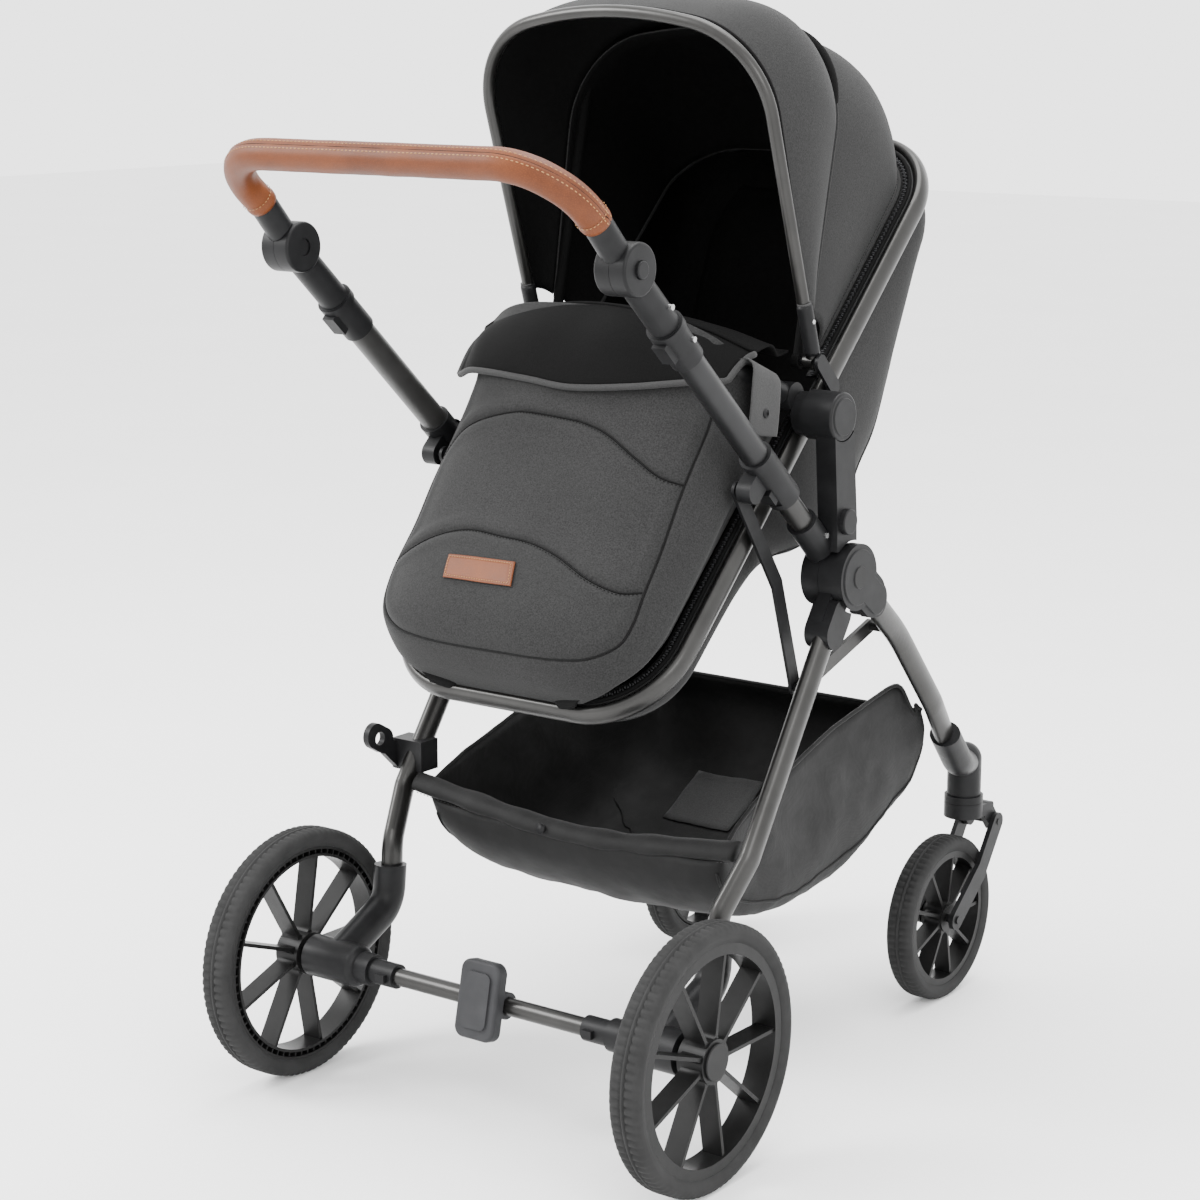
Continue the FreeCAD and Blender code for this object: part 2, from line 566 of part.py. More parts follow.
def push_frame():
    inner = disc(INNER_X[0], INNER_X[1], HUB, HUB_R - 1)
    connector = rod(handle_point(436), handle_point(492), 17)
    keep_out = disc(INNER_X[1], 260, HUB, HUB_R + 3)
    socket = connector.cut(keep_out)
    tube_room = rod(handle_point(400), handle_point(TUBE_END), TUBE_R)
    inner = inner.fuse(socket).cut([disc(180, 270, HUB, 8 + RUNNING), tube_room])
    write("hub_inner_housings", both(inner.removeSplitter().cut(screws())))

    outline = [(291, 762), (329, 762), (339, 660), (340, 622), (300, 622), (299, 660)]
    riser = plate(outline, RISER_X[0], RISER_X[1])
    foot = plate([(300, 640), (340, 640), (345, 600), (300, 600)], INNER_X[0], INNER_X[1])
    riser = riser.cut(disc(180, 270, HUB, HUB_R + 3)).fuse(foot.cut(disc(180, 270, HUB, HUB_R - 1)))
    riser = riser.fuse(plate([(300, 645), (340, 645), (340, 630), (300, 630)], 210, 224))
    connector_room = rod(handle_point(400), handle_point(500), 17)
    riser = riser.cut([connector_room, disc(180, 270, UPPER_HUB, UPPER_HUB_R)])
    riser = riser.cut(disc(238.6, 250, RISER_BUTTON, 14.3))
    write("risers", both(max(riser.Solids, key=lambda s: s.Volume).removeSplitter()))

    hub = disc(UPPER_HUB_X[0], UPPER_HUB_X[1], UPPER_HUB, UPPER_HUB_R)
    hub = round_edges(hub, 3, lambda e: e.CenterOfMass.x > UPPER_HUB_X[1] - 1)
    hub = hub.cut(disc(200, 232, UPPER_HUB, SEAT_PIN_R + RUNNING))
    write("upper_hubs", both(hub))

    tube_solid = rod(handle_point(60), handle_point(TUBE_END), TUBE_R)
    hollow = rod(handle_point(59), handle_point(TUBE_END + 1), TUBE_R - LEG_WALL)
    write("handle_tubes", both(tube_solid.cut([hollow] + screws())))
    cover = rod(handle_point(SLEEVE_ENDS[2]), handle_point(COLLAR_ENDS[0]), 15)
    write("handle_tube_covers", both(cover.cut(rod(handle_point(100), handle_point(400), TUBE_R))))

    sleeve = rod(handle_point(SLEEVE_ENDS[1]), handle_point(SLEEVE_ENDS[2]), 18)
    lip = rod(handle_point(SLEEVE_ENDS[1] + 1), handle_point(SLEEVE_ENDS[1] + 10), 20)
    clip = handle_block(SLEEVE_ENDS[1] + 8, SLEEVE_ENDS[1] + 34, -24, -12, 8)
    sleeve = sleeve.fuse([lip, clip]).cut(rod(handle_point(60), handle_point(400), TUBE_R)).removeSplitter()
    write("handle_sleeves", both(sleeve.cut(screws())))

    collar = rod(handle_point(COLLAR_ENDS[0]), handle_point(COLLAR_ENDS[1]), 18.5)
    boss = slab((LINK_TOP[0] + 26, LINK_TOP[1] + 24), LINK_TOP, 13, 206.4, 224)
    collar = collar.fuse(boss).cut([rod(handle_point(200), handle_point(400), TUBE_R)])
    collar = collar.cut(latch_slot()).fuse(disc(197, 206.4, LINK_TOP, 5)).removeSplitter()
    write("pivot_collars", both(collar))

    drum = disc(200, HANDLE_X - GAP / 2, KNUCKLE, 27)
    drum = round_edges(drum, 3, lambda e: e.CenterOfMass.x < 201)
    stub = rod(handle_point(0), handle_point(SLEEVE_ENDS[1]), 16.5)
    keep_out = disc(180, 260, KNUCKLE, 28).cut(disc(180, HANDLE_X - GAP / 2, KNUCKLE, 29))
    stub = stub.cut([keep_out, rod(handle_point(60), handle_point(400), TUBE_R)])
    lower = drum.fuse(stub).cut([knuckle_bore()] + screws())
    write("knuckle_lowers", both(lower))

    write("frame_screws", both(*screws()))


def handle_block(t0, t1, off0, off1, half_x):
    """Block on the handle tube between two distances along it and two heights above it."""
    corners = [handle_point(t, o) for t, o in ((t0, off0), (t1, off0), (t1, off1), (t0, off1))]
    return plate([(p.y, p.z) for p in corners], HANDLE_X - half_x, HANDLE_X + half_x)


RISER_BUTTON = (316.0, 654.0)


def riser_buttons():
    button = disc(243.4, 252, RISER_BUTTON, 14)
    button = round_edges(button, 1.5, lambda e: e.CenterOfMass.x > 251)
    for side in ("left", "right"):
        write("riser_button_" + side, side_of(side, button))


def latch_slot():
    return handle_block(351.5, 381, -22, -15.5, 9)


def fold_latches():
    """Ridged slide in each collar that frees the frame for folding."""
    latch = handle_block(353, 371, -23, -15.9, 8.5)
    for side in ("left", "right"):
        write("fold_latch_" + side, side_of(side, latch))


def fold_links():
    """Flat bars from the collars down to the struts, bent slightly forwards."""
    knee = (250, 590)
    upper = slab(LINK_TOP, knee, 9, 198, INNER_X[0] - GAP)
    lower = slab(knee, LINK_BOTTOM, 9, 198, INNER_X[0] - GAP)
    link = upper.fuse(lower).cut(disc(190, 210, LINK_TOP, 5 + RUNNING)).removeSplitter()
    stud = disc(194, 205.5, LINK_BOTTOM, 5)
    write("fold_links", both(link.fuse(stud).removeSplitter()))


def cross_struts():
    """Bars between the front legs and the foot of the links."""
    bar = slab(STRUT_PIVOT, LINK_BOTTOM, 8, 206, 211).cut(disc(200, 215, STRUT_PIVOT, 5 + RUNNING))
    write("cross_struts", both(bar))


# ---- handlebar ---------------------------------------------------------------------------
def knuckle_bore():
    return disc(190, 250, KNUCKLE, 9 + GAP)


def handlebar():
    points = [V(BAR_X, BAR_END[0], BAR_END[1]), V(BAR_X, BAR[0], BAR[1]),
              V(-BAR_X, BAR[0], BAR[1]), V(-BAR_X, BAR_END[0], BAR_END[1])]
    square_to_bar = V(0, BAR[1] - BAR_END[1], BAR_END[0] - BAR[0]).normalize()
    grip = sweep(rounded_wire(points, 70), square_to_bar, 2 * GRIP_R, 2 * GRIP_R)
    write("handle_grip", grip)
    drum = disc(HANDLE_X + GAP / 2, 238, KNUCKLE, 27)
    drum = round_edges(drum, 3, lambda e: e.CenterOfMass.x > 237)
    start = V(HANDLE_X, KNUCKLE[0], KNUCKLE[1])
    end = V(BAR_X, BAR_END[0], BAR_END[1])
    keep_out = disc(180, 260, KNUCKLE, 28).cut(disc(HANDLE_X + GAP / 2, 270, KNUCKLE, 29))
    neck = rod(start, end, 15).cut(keep_out)
    upper = drum.fuse(neck).cut([knuckle_bore(), rod(end, V(BAR_X, BAR[0], BAR[1]), 30)])
    write("knuckle_uppers", both(upper))
    button = disc(202, 241.5, KNUCKLE, 9)
    button = round_edges(button, 1.5, lambda e: e.CenterOfMass.x > 241)
    for side in ("left", "right"):
        write("knuckle_button_" + side, side_of(side, button))


# ---- seat unit ---------------------------------------------------------------------------
BUMPER_END = (296.0, 788.0)
BUMPER_X = 179.0
BUMPER_R = 12.0


def seat_rail(deep, wide):
    """Closed oval loop around the seat."""
    w = SEAT_HALF_W
    corners = [seat_point(w, SEAT_FOOT, 0), seat_point(w, SEAT_HEAD, 0),
               seat_point(-w, SEAT_HEAD, 0), seat_point(-w, SEAT_FOOT, 0)]
    loop = rounded_wire(corners, SEAT_CORNER_R, closed=True)
    return sweep(loop, unit(SEAT_TILT + 90), deep, wide)


def seat_brackets():
    """Disc and pin that hold the seat in the upper hub, the bar's socket and the hood's bracket."""
    face = UPPER_HUB_X[0] - GAP
    rail_out = SEAT_HALF_W + RAIL_WIDE / 2
    disc_body = disc(rail_out, face, UPPER_HUB, 24)
    pin = disc(face - 1, 230, UPPER_HUB, SEAT_PIN_R)
    rail_at = seat_point(0, 0, 0)
    tie = slab(UPPER_HUB, (rail_at.y + 4, rail_at.z + 4), 15, rail_out, face - 2)
    hood_foot = seat_point(0, 54, 4)
    ear = slab((hood_foot.y, hood_foot.z), HOOD_PIVOT, 9, EAR_X[0], EAR_X[1])
    foot = disc(rail_out, EAR_X[1], (hood_foot.y, hood_foot.z), 9)
    spindle = disc(162, EAR_X[1], HOOD_PIVOT, 4)
    holder = disc_body.fuse([pin, tie]).removeSplitter()
    hood_holder = ear.fuse([foot, spindle]).removeSplitter()
    write("seat_brackets", both(holder, hood_holder))


def half_width(s, margin):
    """Half width of the fabric inside the seat frame at a distance s along it."""
    w = SEAT_HALF_W - RAIL_WIDE / 2 - margin
    r = SEAT_CORNER_R - RAIL_WIDE / 2
    low = SEAT_FOOT + RAIL_WIDE / 2 + margin + r
    high = SEAT_HEAD - RAIL_WIDE / 2 - margin - r
    beyond = max(low - s, s - high, 0)
    return w - r + math.sqrt(max(r * r - beyond * beyond, 0))


def trough_wire(s, half, depth, corner, sign, lift):
    """Cross-section of a trough at s: flat across the frame's plane, rounded at the bottom."""
    corner = min(corner, half - 4, depth - lift - 2)
    steps = 4
    pts = [(half, lift), (half, depth - corner)]
    for i in range(1, steps + 1):
        a = math.radians(90 * i / steps)
        pts.append((half - corner + corner * math.cos(a), depth - corner + corner * math.sin(a)))
    pts += [(-x, d) for x, d in reversed(pts)]
    corners = [seat_point(x, s, sign * d) for x, d in pts]
    return Part.makePolygon(corners + corners[:1])


def trough(stations, sign, wall, margin, corner, open_end):
    """Open shell through stations of (s, depth)."""
    outer = [trough_wire(s, half_width(s, margin), d, corner, sign, 0) for s, d in stations]
    inner = []
    last = len(stations) - 1
    for i, (s, d) in enumerate(stations):
        at = s
        if i == 0:
            at = s + wall
        if i == last:
            at = s + wall * 2 if open_end else s - wall
        near = max(half_width(s, margin) - wall, 6)
        inner.append(trough_wire(at, near, d - wall, max(corner - wall, 3), sign, -3))
    shell = Part.makeLoft(outer, True, True)
    return shell.cut(Part.makeLoft(inner, True, True))


TUB = [(-392, 32), (-378, 42), (-350, 52), (-300, 62), (-200, 68), (-140, 92), (-90, 140), (-40, 184),
       (30, 200), (110, 190), (172, 166), (226, 136), (300, 92), (350, 72), (385, 58), (402, 44)]
APRON = [(-392, 26), (-376, 52), (-350, 78), (-310, 98), (-250, 116), (-180, 131), (-100, 150), (-60, 172),
         (-36, 193), (-14, 196)]


def seat_fabric():
    tub = trough(TUB, -1, 5, 1.0, 62, False)
    write("seat_tub", tub)
    apron = trough(APRON, 1, 5, -5.0, 70, True)
    apron = apron.cut([seat_rail(RAIL_DEEP + 2, RAIL_WIDE + 2), bumper_tube(BUMPER_R + 0.5)])
    write("apron", max(apron.Solids, key=lambda s: s.Volume))


def bumper_tube(r):
    half = [V(BUMPER_X, BUMPER_END[0], BUMPER_END[1]), V(BUMPER_X, 214, 822), V(0, 180, 852)]
    points = half + [V(-p.x, p.y, p.z) for p in reversed(half[:-1])]
    return sweep(rounded_wire(points, [0, 70, 500, 70, 0]), V(0, 0.4, 1), 2 * r, 2 * r)


def bumper_bar():
    """Bar across the seat; a button at the back of each end frees it."""
    end = V(BUMPER_X, BUMPER_END[0], BUMPER_END[1])
    socket = disc(BUMPER_X - 14, SEAT_HALF_W + RAIL_WIDE / 2 - GAP, BUMPER_END, 16)
    hole = rod(end - V(0, 30, 0), end - V(0, 4, 0), 6 + GAP)
    bar = bumper_tube(BUMPER_R).fuse([socket, flip(socket)]).cut([hole, flip(hole)])
    write("bumper_bar", bar.removeSplitter())
    button = rod(end - V(0, 18.5, 0), end - V(0, 7, 0), 6)
    for side in ("left", "right"):
        write("bumper_button_" + side, side_of(side, button))


# ---- hood --------------------------------------------------------------------------------
def hood_path(offset):
    """Corner points and radii, as (x, r), of the bow's outline moved outwards by offset."""
    slope = math.radians(HOOD_SLOPE)
    half = HOOD_HALF_W + offset
    apex = HOOD_APEX + offset / math.cos(slope)
    shoulder = apex - half * math.tan(slope)
    return half, shoulder, apex


def hood_wire(offset, degrees, start):
    half, shoulder, apex = hood_path(offset)
    outline = [(half, start), (half, shoulder), (0, apex), (-half, shoulder), (-half, start)]
    points = [hood_point(x, r, degrees) for x, r in outline]
    corner = HOOD_CORNER_R + offset
    return rounded_wire(points, [0, corner, HOOD_CROWN_R, corner, 0])


def hood_shell(outer, inner, start, low, high):
    """Fabric panel between two outlines, turned about the hood's pivot from low to high degrees."""
    big = hood_wire(outer, low, start)
    small = hood_wire(inner, low, start)
    b0, b1 = big.OrderedVertexes[0].Point, big.OrderedVertexes[-1].Point
    s0, s1 = small.OrderedVertexes[0].Point, small.OrderedVertexes[-1].Point
    joins = [Part.LineSegment(b1, s1).toShape(), Part.LineSegment(s0, b0).toShape()]
    wire = Part.Wire(Part.__sortEdges__(big.Edges + small.Edges + joins))
    face = Part.Face(wire)
    return face.revolve(V(0, HOOD_PIVOT[0], HOOD_PIVOT[1]), V(1, 0, 0), high - low)


def bow(offset, degrees, radius, eye):
    """Tube bent to the hood's outline, with an eye on the pivot at each end."""
    wire = hood_wire(offset, degrees, 6)
    solid = sweep(wire, unit(degrees + 90), 2 * radius, 2 * radius)
    x0, x1 = eye
    rim = disc(x0, x1, HOOD_PIVOT, 8.5)
    bore = disc(150, 200, HOOD_PIVOT, 4 + RUNNING)
    return solid.fuse([rim, flip(rim)]).cut([bore, flip(bore)]).removeSplitter()


def hood():
    write("hood_front_bow", bow(0, BOW_ANGLE, BOW_R, (180, 191.8)))
    write("hood_mid_bow", bow(REAR_PANEL[1] - 0.5 - MID_BOW_R, MID_BOW_ANGLE, MID_BOW_R, (165, 173.5)))
    front = hood_shell(FRONT_PANEL[0], FRONT_PANEL[1], 60, MID_BOW_ANGLE + 0.5, BOW_ANGLE - 2)
    write("hood_front_panel", front)
    rear = hood_shell(REAR_PANEL[0], REAR_PANEL[1], 62, HOOD_BACK_ANGLE, MID_BOW_ANGLE - 1.5)
    write("hood_rear_panel", rear)


# ---- build -------------------------------------------------------------------------------
os.makedirs("parts", exist_ok=True)
rear_wheels()
caster_wheels()
caster_forks()
caster_arms()
caster_housings()
swivel_locks()
front_frame()
basket()
rear_frame()
accessory_hook()
brake_pedal()
push_frame()
riser_buttons()
fold_latches()
fold_links()
cross_struts()
handlebar()
write("seat_frame", seat_rail(RAIL_DEEP, RAIL_WIDE))
seat_brackets()
seat_fabric()
bumper_bar()
hood()
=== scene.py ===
"""Looks of the baby stroller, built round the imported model.

Shapes are laid out in millimetres with Y measured from the rear axle, as the frame is, and
to_row() turns them into metres in the row frame.
"""
import json
import math

import bmesh
import bpy
from mathutils import Matrix, Vector, kdtree, noise


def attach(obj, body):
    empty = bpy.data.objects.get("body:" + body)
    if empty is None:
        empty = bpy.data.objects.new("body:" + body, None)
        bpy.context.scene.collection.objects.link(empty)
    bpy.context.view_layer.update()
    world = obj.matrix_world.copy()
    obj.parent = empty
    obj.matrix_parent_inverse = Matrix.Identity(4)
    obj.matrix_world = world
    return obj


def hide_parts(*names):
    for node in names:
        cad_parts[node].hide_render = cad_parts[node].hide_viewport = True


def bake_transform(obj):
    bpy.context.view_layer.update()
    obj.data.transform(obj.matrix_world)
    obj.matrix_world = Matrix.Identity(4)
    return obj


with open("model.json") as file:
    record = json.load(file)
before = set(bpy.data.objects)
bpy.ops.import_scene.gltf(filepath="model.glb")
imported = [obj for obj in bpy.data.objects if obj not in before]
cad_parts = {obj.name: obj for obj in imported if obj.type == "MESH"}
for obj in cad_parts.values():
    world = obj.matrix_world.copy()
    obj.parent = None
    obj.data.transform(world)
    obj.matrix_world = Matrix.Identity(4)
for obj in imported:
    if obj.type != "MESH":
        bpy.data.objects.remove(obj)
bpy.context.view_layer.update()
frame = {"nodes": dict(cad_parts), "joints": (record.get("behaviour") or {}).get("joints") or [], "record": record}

MM = 0.001
JOINTS = {j["name"]: j for j in frame["joints"]}
AXLE_ROW_Y = JOINTS["rear_spin_right"]["pos_m"][1]


def to_row(p):
    return Vector((p[0] * MM, p[1] * MM + AXLE_ROW_Y, p[2] * MM))


def pivot(name):
    """(y, z) of a joint in millimetres, with y from the rear axle."""
    x, y, z = JOINTS[name]["pos_m"]
    return (y - AXLE_ROW_Y) / MM, z / MM


# ---- driving places ----------------------------------------------------------------------
HUB = pivot("fold")
UPPER_HUB = pivot("recline")
HOOD_PIVOT = pivot("hood_mid_fold")
REAR_AXLE = pivot("rear_spin_right")
CASTER_AXLE = pivot("caster_spin_right")
CASTER_X = 182.0

SEAT_TILT = 44.3
SEAT_ORIGIN = (324.9, 752.7)
SEAT_HALF_W = 184.0
SEAT_FOOT = -403.0
SEAT_HEAD = 413.5
SEAT_CORNER_R = 97.0
RAIL_HALF = 8.0

BOW_ANGLE = 108.0
MID_BOW_ANGLE = 77.0


def unit(degrees):
    a = math.radians(degrees)
    return Vector((0, math.cos(a), math.sin(a)))


SEAT_ALONG = unit(SEAT_TILT)
SEAT_NORMAL = unit(SEAT_TILT + 90)


def seat_point(x, s, n):
    """Point of the seat unit: s up the frame from below the hub, n above the frame's plane."""
    return Vector((x, *SEAT_ORIGIN)) + SEAT_ALONG * s + SEAT_NORMAL * n


def hood_point(x, r, degrees):
    return Vector((x, *HOOD_PIVOT)) + unit(degrees) * r


def lerp(a, b, t):
    return a + (b - a) * t


def smooth(t):
    t = max(0.0, min(1.0, t))
    return t * t * (3 - 2 * t)


def table(stations, at):
    """Smooth value at a place along (place, value) stations."""
    if at <= stations[0][0]:
        return stations[0][1]
    if at >= stations[-1][0]:
        return stations[-1][1]
    for k in range(len(stations) - 1):
        a, b = stations[k], stations[k + 1]
        if at <= b[0]:
            before = stations[max(k - 1, 0)]
            after = stations[min(k + 2, len(stations) - 1)]
            span = b[0] - a[0]
            ma = (b[1] - before[1]) / (b[0] - before[0]) * span
            mb = (after[1] - a[1]) / (after[0] - a[0]) * span
            t = (at - a[0]) / span
            return ((2 * t ** 3 - 3 * t ** 2 + 1) * a[1] + (t ** 3 - 2 * t ** 2 + t) * ma
                    + (3 * t ** 2 - 2 * t ** 3) * b[1] + (t ** 3 - t ** 2) * mb)


# ---- materials ---------------------------------------------------------------------------
class Shader:
    """A material whose colour, roughness and bump come from nodes."""

    def __init__(self, name, metallic=0.0, sheen=0.0, coat=0.0, specular=0.5):
        self.mat = bpy.data.materials.new(name)
        self.mat.use_nodes = True
        self.nodes = self.mat.node_tree.nodes
        self.links = self.mat.node_tree.links
        self.bsdf = self.nodes["Principled BSDF"]
        self.bsdf.inputs["Metallic"].default_value = metallic
        self.bsdf.inputs["Sheen Weight"].default_value = sheen
        self.bsdf.inputs["Sheen Roughness"].default_value = 0.4
        self.bsdf.inputs["Coat Weight"].default_value = coat
        self.bsdf.inputs["Specular IOR Level"].default_value = specular
        self.place = self.nodes.new("ShaderNodeTexCoord").outputs["Object"]
        self.height = None

    def node(self, kind, **settings):
        made = self.nodes.new(kind)
        for key, value in settings.items():
            setattr(made, key, value)
        return made

    def noise(self, scale, detail=3.0, rough=0.55):
        made = self.node("ShaderNodeTexNoise")
        made.inputs["Scale"].default_value = scale
        made.inputs["Detail"].default_value = detail
        made.inputs["Roughness"].default_value = rough
        self.links.new(self.place, made.inputs["Vector"])
        return made.outputs["Fac"]

    def stretched(self, stretch):
        if stretch is None:
            return self.place
        made = self.node("ShaderNodeMapping")
        made.inputs["Scale"].default_value = stretch
        self.links.new(self.place, made.inputs["Vector"])
        return made.outputs["Vector"]

    def cells(self, scale, feature="F1", stretch=None):
        made = self.node("ShaderNodeTexVoronoi", feature=feature)
        made.inputs["Scale"].default_value = scale
        self.links.new(self.stretched(stretch), made.inputs["Vector"])
        return made.outputs["Distance"]

    def wave(self, scale, direction):
        made = self.node("ShaderNodeTexWave", bands_direction=direction)
        made.inputs["Scale"].default_value = scale
        self.links.new(self.place, made.inputs["Vector"])
        return made.outputs["Fac"]

    def ramp(self, fac, stops):
        made = self.node("ShaderNodeValToRGB")
        ramp = made.color_ramp
        while len(ramp.elements) < len(stops):
            ramp.elements.new(0.5)
        for element, (place, colour) in zip(ramp.elements, stops):
            element.position = place
            element.color = (*colour, 1.0)
        self.links.new(fac, made.inputs["Fac"])
        return made.outputs["Color"]

    def mix(self, fac, a, b, blend="MIX"):
        made = self.node("ShaderNodeMix", data_type="RGBA", blend_type=blend)
        if isinstance(fac, float):
            made.inputs[0].default_value = fac
        else:
            self.links.new(fac, made.inputs[0])
        self.links.new(a, made.inputs[6])
        self.links.new(b, made.inputs[7])
        return made.outputs[2]

    def math(self, operation, a, b=None):
        made = self.node("ShaderNodeMath", operation=operation)
        for socket, value in zip(made.inputs, (a, b)):
            if isinstance(value, (int, float)):
                socket.default_value = value
            elif value is not None:
                self.links.new(value, socket)
        return made.outputs[0]

    def colour(self, source):
        self.links.new(source, self.bsdf.inputs["Base Color"])

    def roughness(self, fac, low, high):
        made = self.node("ShaderNodeMapRange")
        made.inputs["To Min"].default_value = low
        made.inputs["To Max"].default_value = high
        self.links.new(fac, made.inputs["Value"])
        self.links.new(made.outputs["Result"], self.bsdf.inputs["Roughness"])

    def bump(self, height, distance, strength=1.0):
        made = self.node("ShaderNodeBump")
        made.inputs["Distance"].default_value = distance
        made.inputs["Strength"].default_value = strength
        self.links.new(height, made.inputs["Height"])
        if self.height is not None:
            self.links.new(self.height, made.inputs["Normal"])
        self.height = made.outputs["Normal"]
        self.links.new(self.height, self.bsdf.inputs["Normal"])


def grey(v, tint=(1.0, 1.0, 1.0)):
    return tuple(v * c for c in tint)


def metal_material(name, dark, light, low, high):
    s = Shader(name, metallic=0.85, coat=0.04, specular=0.3)
    cloud = s.noise(18, 4)
    flake = s.noise(2600, 2)
    s.colour(s.mix(0.35, s.ramp(cloud, [(0.3, dark), (0.7, light)]),
                   s.ramp(flake, [(0.35, dark), (0.7, light)])))
    s.roughness(s.noise(60, 3), low, high)
    s.bump(flake, 0.00004, 0.6)
    return s.mat


def plastic_material(name, dark, light, low, high, grain=1400.0, depth=0.00006):
    s = Shader(name, specular=0.14)
    s.colour(s.ramp(s.noise(35, 5), [(0.3, dark), (0.75, light)]))
    s.roughness(s.noise(90, 4), low, high)
    s.bump(s.cells(grain), depth, 0.7)
    s.bump(s.noise(14, 2), 0.0004, 0.25)
    return s.mat


def knit_material(name, dark, light, sheen=0.25, pitch=1100.0):
    """Smooth knitted fabric with a melange of darker and lighter yarns."""
    s = Shader(name, sheen=sheen, specular=0.1)
    yarn = s.cells(pitch, stretch=(1.0, 1.0, 0.6))
    fleck = s.noise(620, 3, 0.7)
    cloud = s.noise(9, 4)
    base = s.ramp(fleck, [(0.32, dark), (0.68, light)])
    shade = s.ramp(cloud, [(0.25, grey(0.90)), (0.75, grey(1.06))])
    s.colour(s.mix(1.0, base, shade, "MULTIPLY"))
    s.roughness(fleck, 0.78, 0.95)
    s.bump(yarn, 0.00022, 0.8)
    s.bump(s.noise(55, 3), 0.0006, 0.3)
    return s.mat


def nylon_material(name, dark, light, sheen=0.15, pitch=420.0):
    """Thin woven cloth with fine crossing threads and soft creases."""
    s = Shader(name, sheen=sheen, specular=0.22)
    warp = s.wave(pitch, "DIAGONAL")
    weft = s.wave(pitch, "X")
    weave = s.math("MULTIPLY", warp, weft)
    s.colour(s.mix(0.5, s.ramp(s.noise(12, 5), [(0.3, dark), (0.75, light)]),
                   s.ramp(weave, [(0.2, dark), (0.9, light)])))
    s.roughness(s.noise(40, 4), 0.55, 0.75)
    s.bump(weave, 0.00018, 0.6)
    s.bump(s.noise(26, 5, 0.62), 0.0022, 0.5)
    return s.mat


def leather_material():
    s = Shader("tan_leather", specular=0.2)
    grain = s.cells(520, "DISTANCE_TO_EDGE")
    worn = s.noise(14, 6, 0.65)
    s.colour(s.mix(0.25, s.ramp(worn, [(0.25, (0.06, 0.015, 0.004)), (0.6, (0.115, 0.031, 0.008)),
                                       (0.85, (0.16, 0.047, 0.013))]),
                   s.ramp(grain, [(0.0, (0.035, 0.009, 0.003)), (0.25, (0.125, 0.035, 0.01))])))
    s.roughness(worn, 0.38, 0.58)
    s.bump(grain, 0.00035, 0.55)
    s.bump(s.noise(120, 4, 0.7), 0.0004, 0.35)
    return s.mat


def rubber_material():
    s = Shader("tyre_rubber", specular=0.15)
    dust = s.noise(30, 6, 0.65)
    s.colour(s.ramp(dust, [(0.3, grey(0.013)), (0.75, grey(0.024))]))
    s.roughness(dust, 0.72, 0.9)
    s.bump(s.noise(900, 3), 0.00012, 0.7)
    return s.mat


def thread_material(name, dark, light):
    s = Shader(name, specular=0.12)
    twist = s.wave(900, "DIAGONAL")
    s.colour(s.ramp(twist, [(0.2, dark), (0.8, light)]))
    s.roughness(twist, 0.6, 0.8)
    s.bump(twist, 0.0001, 0.6)
    return s.mat


def tube_material_with_painted_shade(metal_dark, metal_light, dark, light):
    """Gunmetal on the left-hand side and near-black on the right-hand one: the dark right-hand side is painted
    shade on the same gunmetal tube.
    """
    s = Shader("handle_tube_painted_shade", metallic=0.55, specular=0.5)
    across = s.node("ShaderNodeSeparateXYZ")
    s.links.new(s.place, across.inputs["Vector"])
    # Painted shade: where x is above 0, on the right-hand tube, the colour switches to the near-black dark and
    # light colours.
    right = s.math("GREATER_THAN", across.outputs["X"], 0.0)
    cloud = s.noise(22, 4)
    s.colour(s.mix(right, s.ramp(cloud, [(0.3, metal_dark), (0.7, metal_light)]),
                   s.ramp(cloud, [(0.3, dark), (0.75, light)])))
    s.roughness(s.noise(70, 3), 0.34, 0.46)
    s.bump(s.noise(2400, 2), 0.00004, 0.6)
    return s.mat


WARM = (1.0, 0.985, 0.955)
COOL = (0.97, 0.98, 1.04)
GUNMETAL = metal_material("gunmetal_paint", grey(0.027, WARM), grey(0.044, WARM), 0.27, 0.38)
BLACK_PLASTIC = plastic_material("black_plastic_grain", grey(0.0045, COOL), grey(0.0095, COOL), 0.36, 0.50)
WHEEL_PLASTIC = plastic_material("wheel_plastic_grain", grey(0.0035), grey(0.007), 0.34, 0.46)
PEDAL_PLASTIC = plastic_material("pedal_plastic_grain", grey(0.021, COOL), grey(0.031, COOL), 0.5, 0.65)
STEEL = metal_material("bright_steel", grey(0.38), grey(0.5), 0.16, 0.3)
GREY_KNIT = knit_material("grey_knit", grey(0.010), grey(0.026), sheen=0.05)
BLACK_KNIT = knit_material("black_lining", grey(0.0012), grey(0.003), sheen=0.0)
PIPING = knit_material("grey_piping", grey(0.024), grey(0.036), sheen=0.06, pitch=1500.0)
STRAP_CLOTH = knit_material("strap_cloth", grey(0.030), grey(0.048), sheen=0.08, pitch=800.0)
NYLON = nylon_material("black_nylon", grey(0.0016), grey(0.004), sheen=0.0)
ZIP_TAPE = nylon_material("zip_tape", grey(0.002), grey(0.005), sheen=0.0, pitch=700.0)
LEATHER = leather_material()
RUBBER = rubber_material()
BLACK_THREAD = thread_material("black_thread", grey(0.0015), grey(0.004))
GREY_THREAD = thread_material("grey_thread", grey(0.03), grey(0.05))
TAN_THREAD = thread_material("tan_thread", (0.22, 0.11, 0.045), (0.36, 0.2, 0.09))
# The last two colours are painted shade for the right-hand tube; the first two are its gunmetal.
TUBE_GUNMETAL_WITH_PAINTED_SHADE = tube_material_with_painted_shade(grey(0.028, WARM), grey(0.042, WARM), grey(0.007, COOL), grey(0.012, COOL))

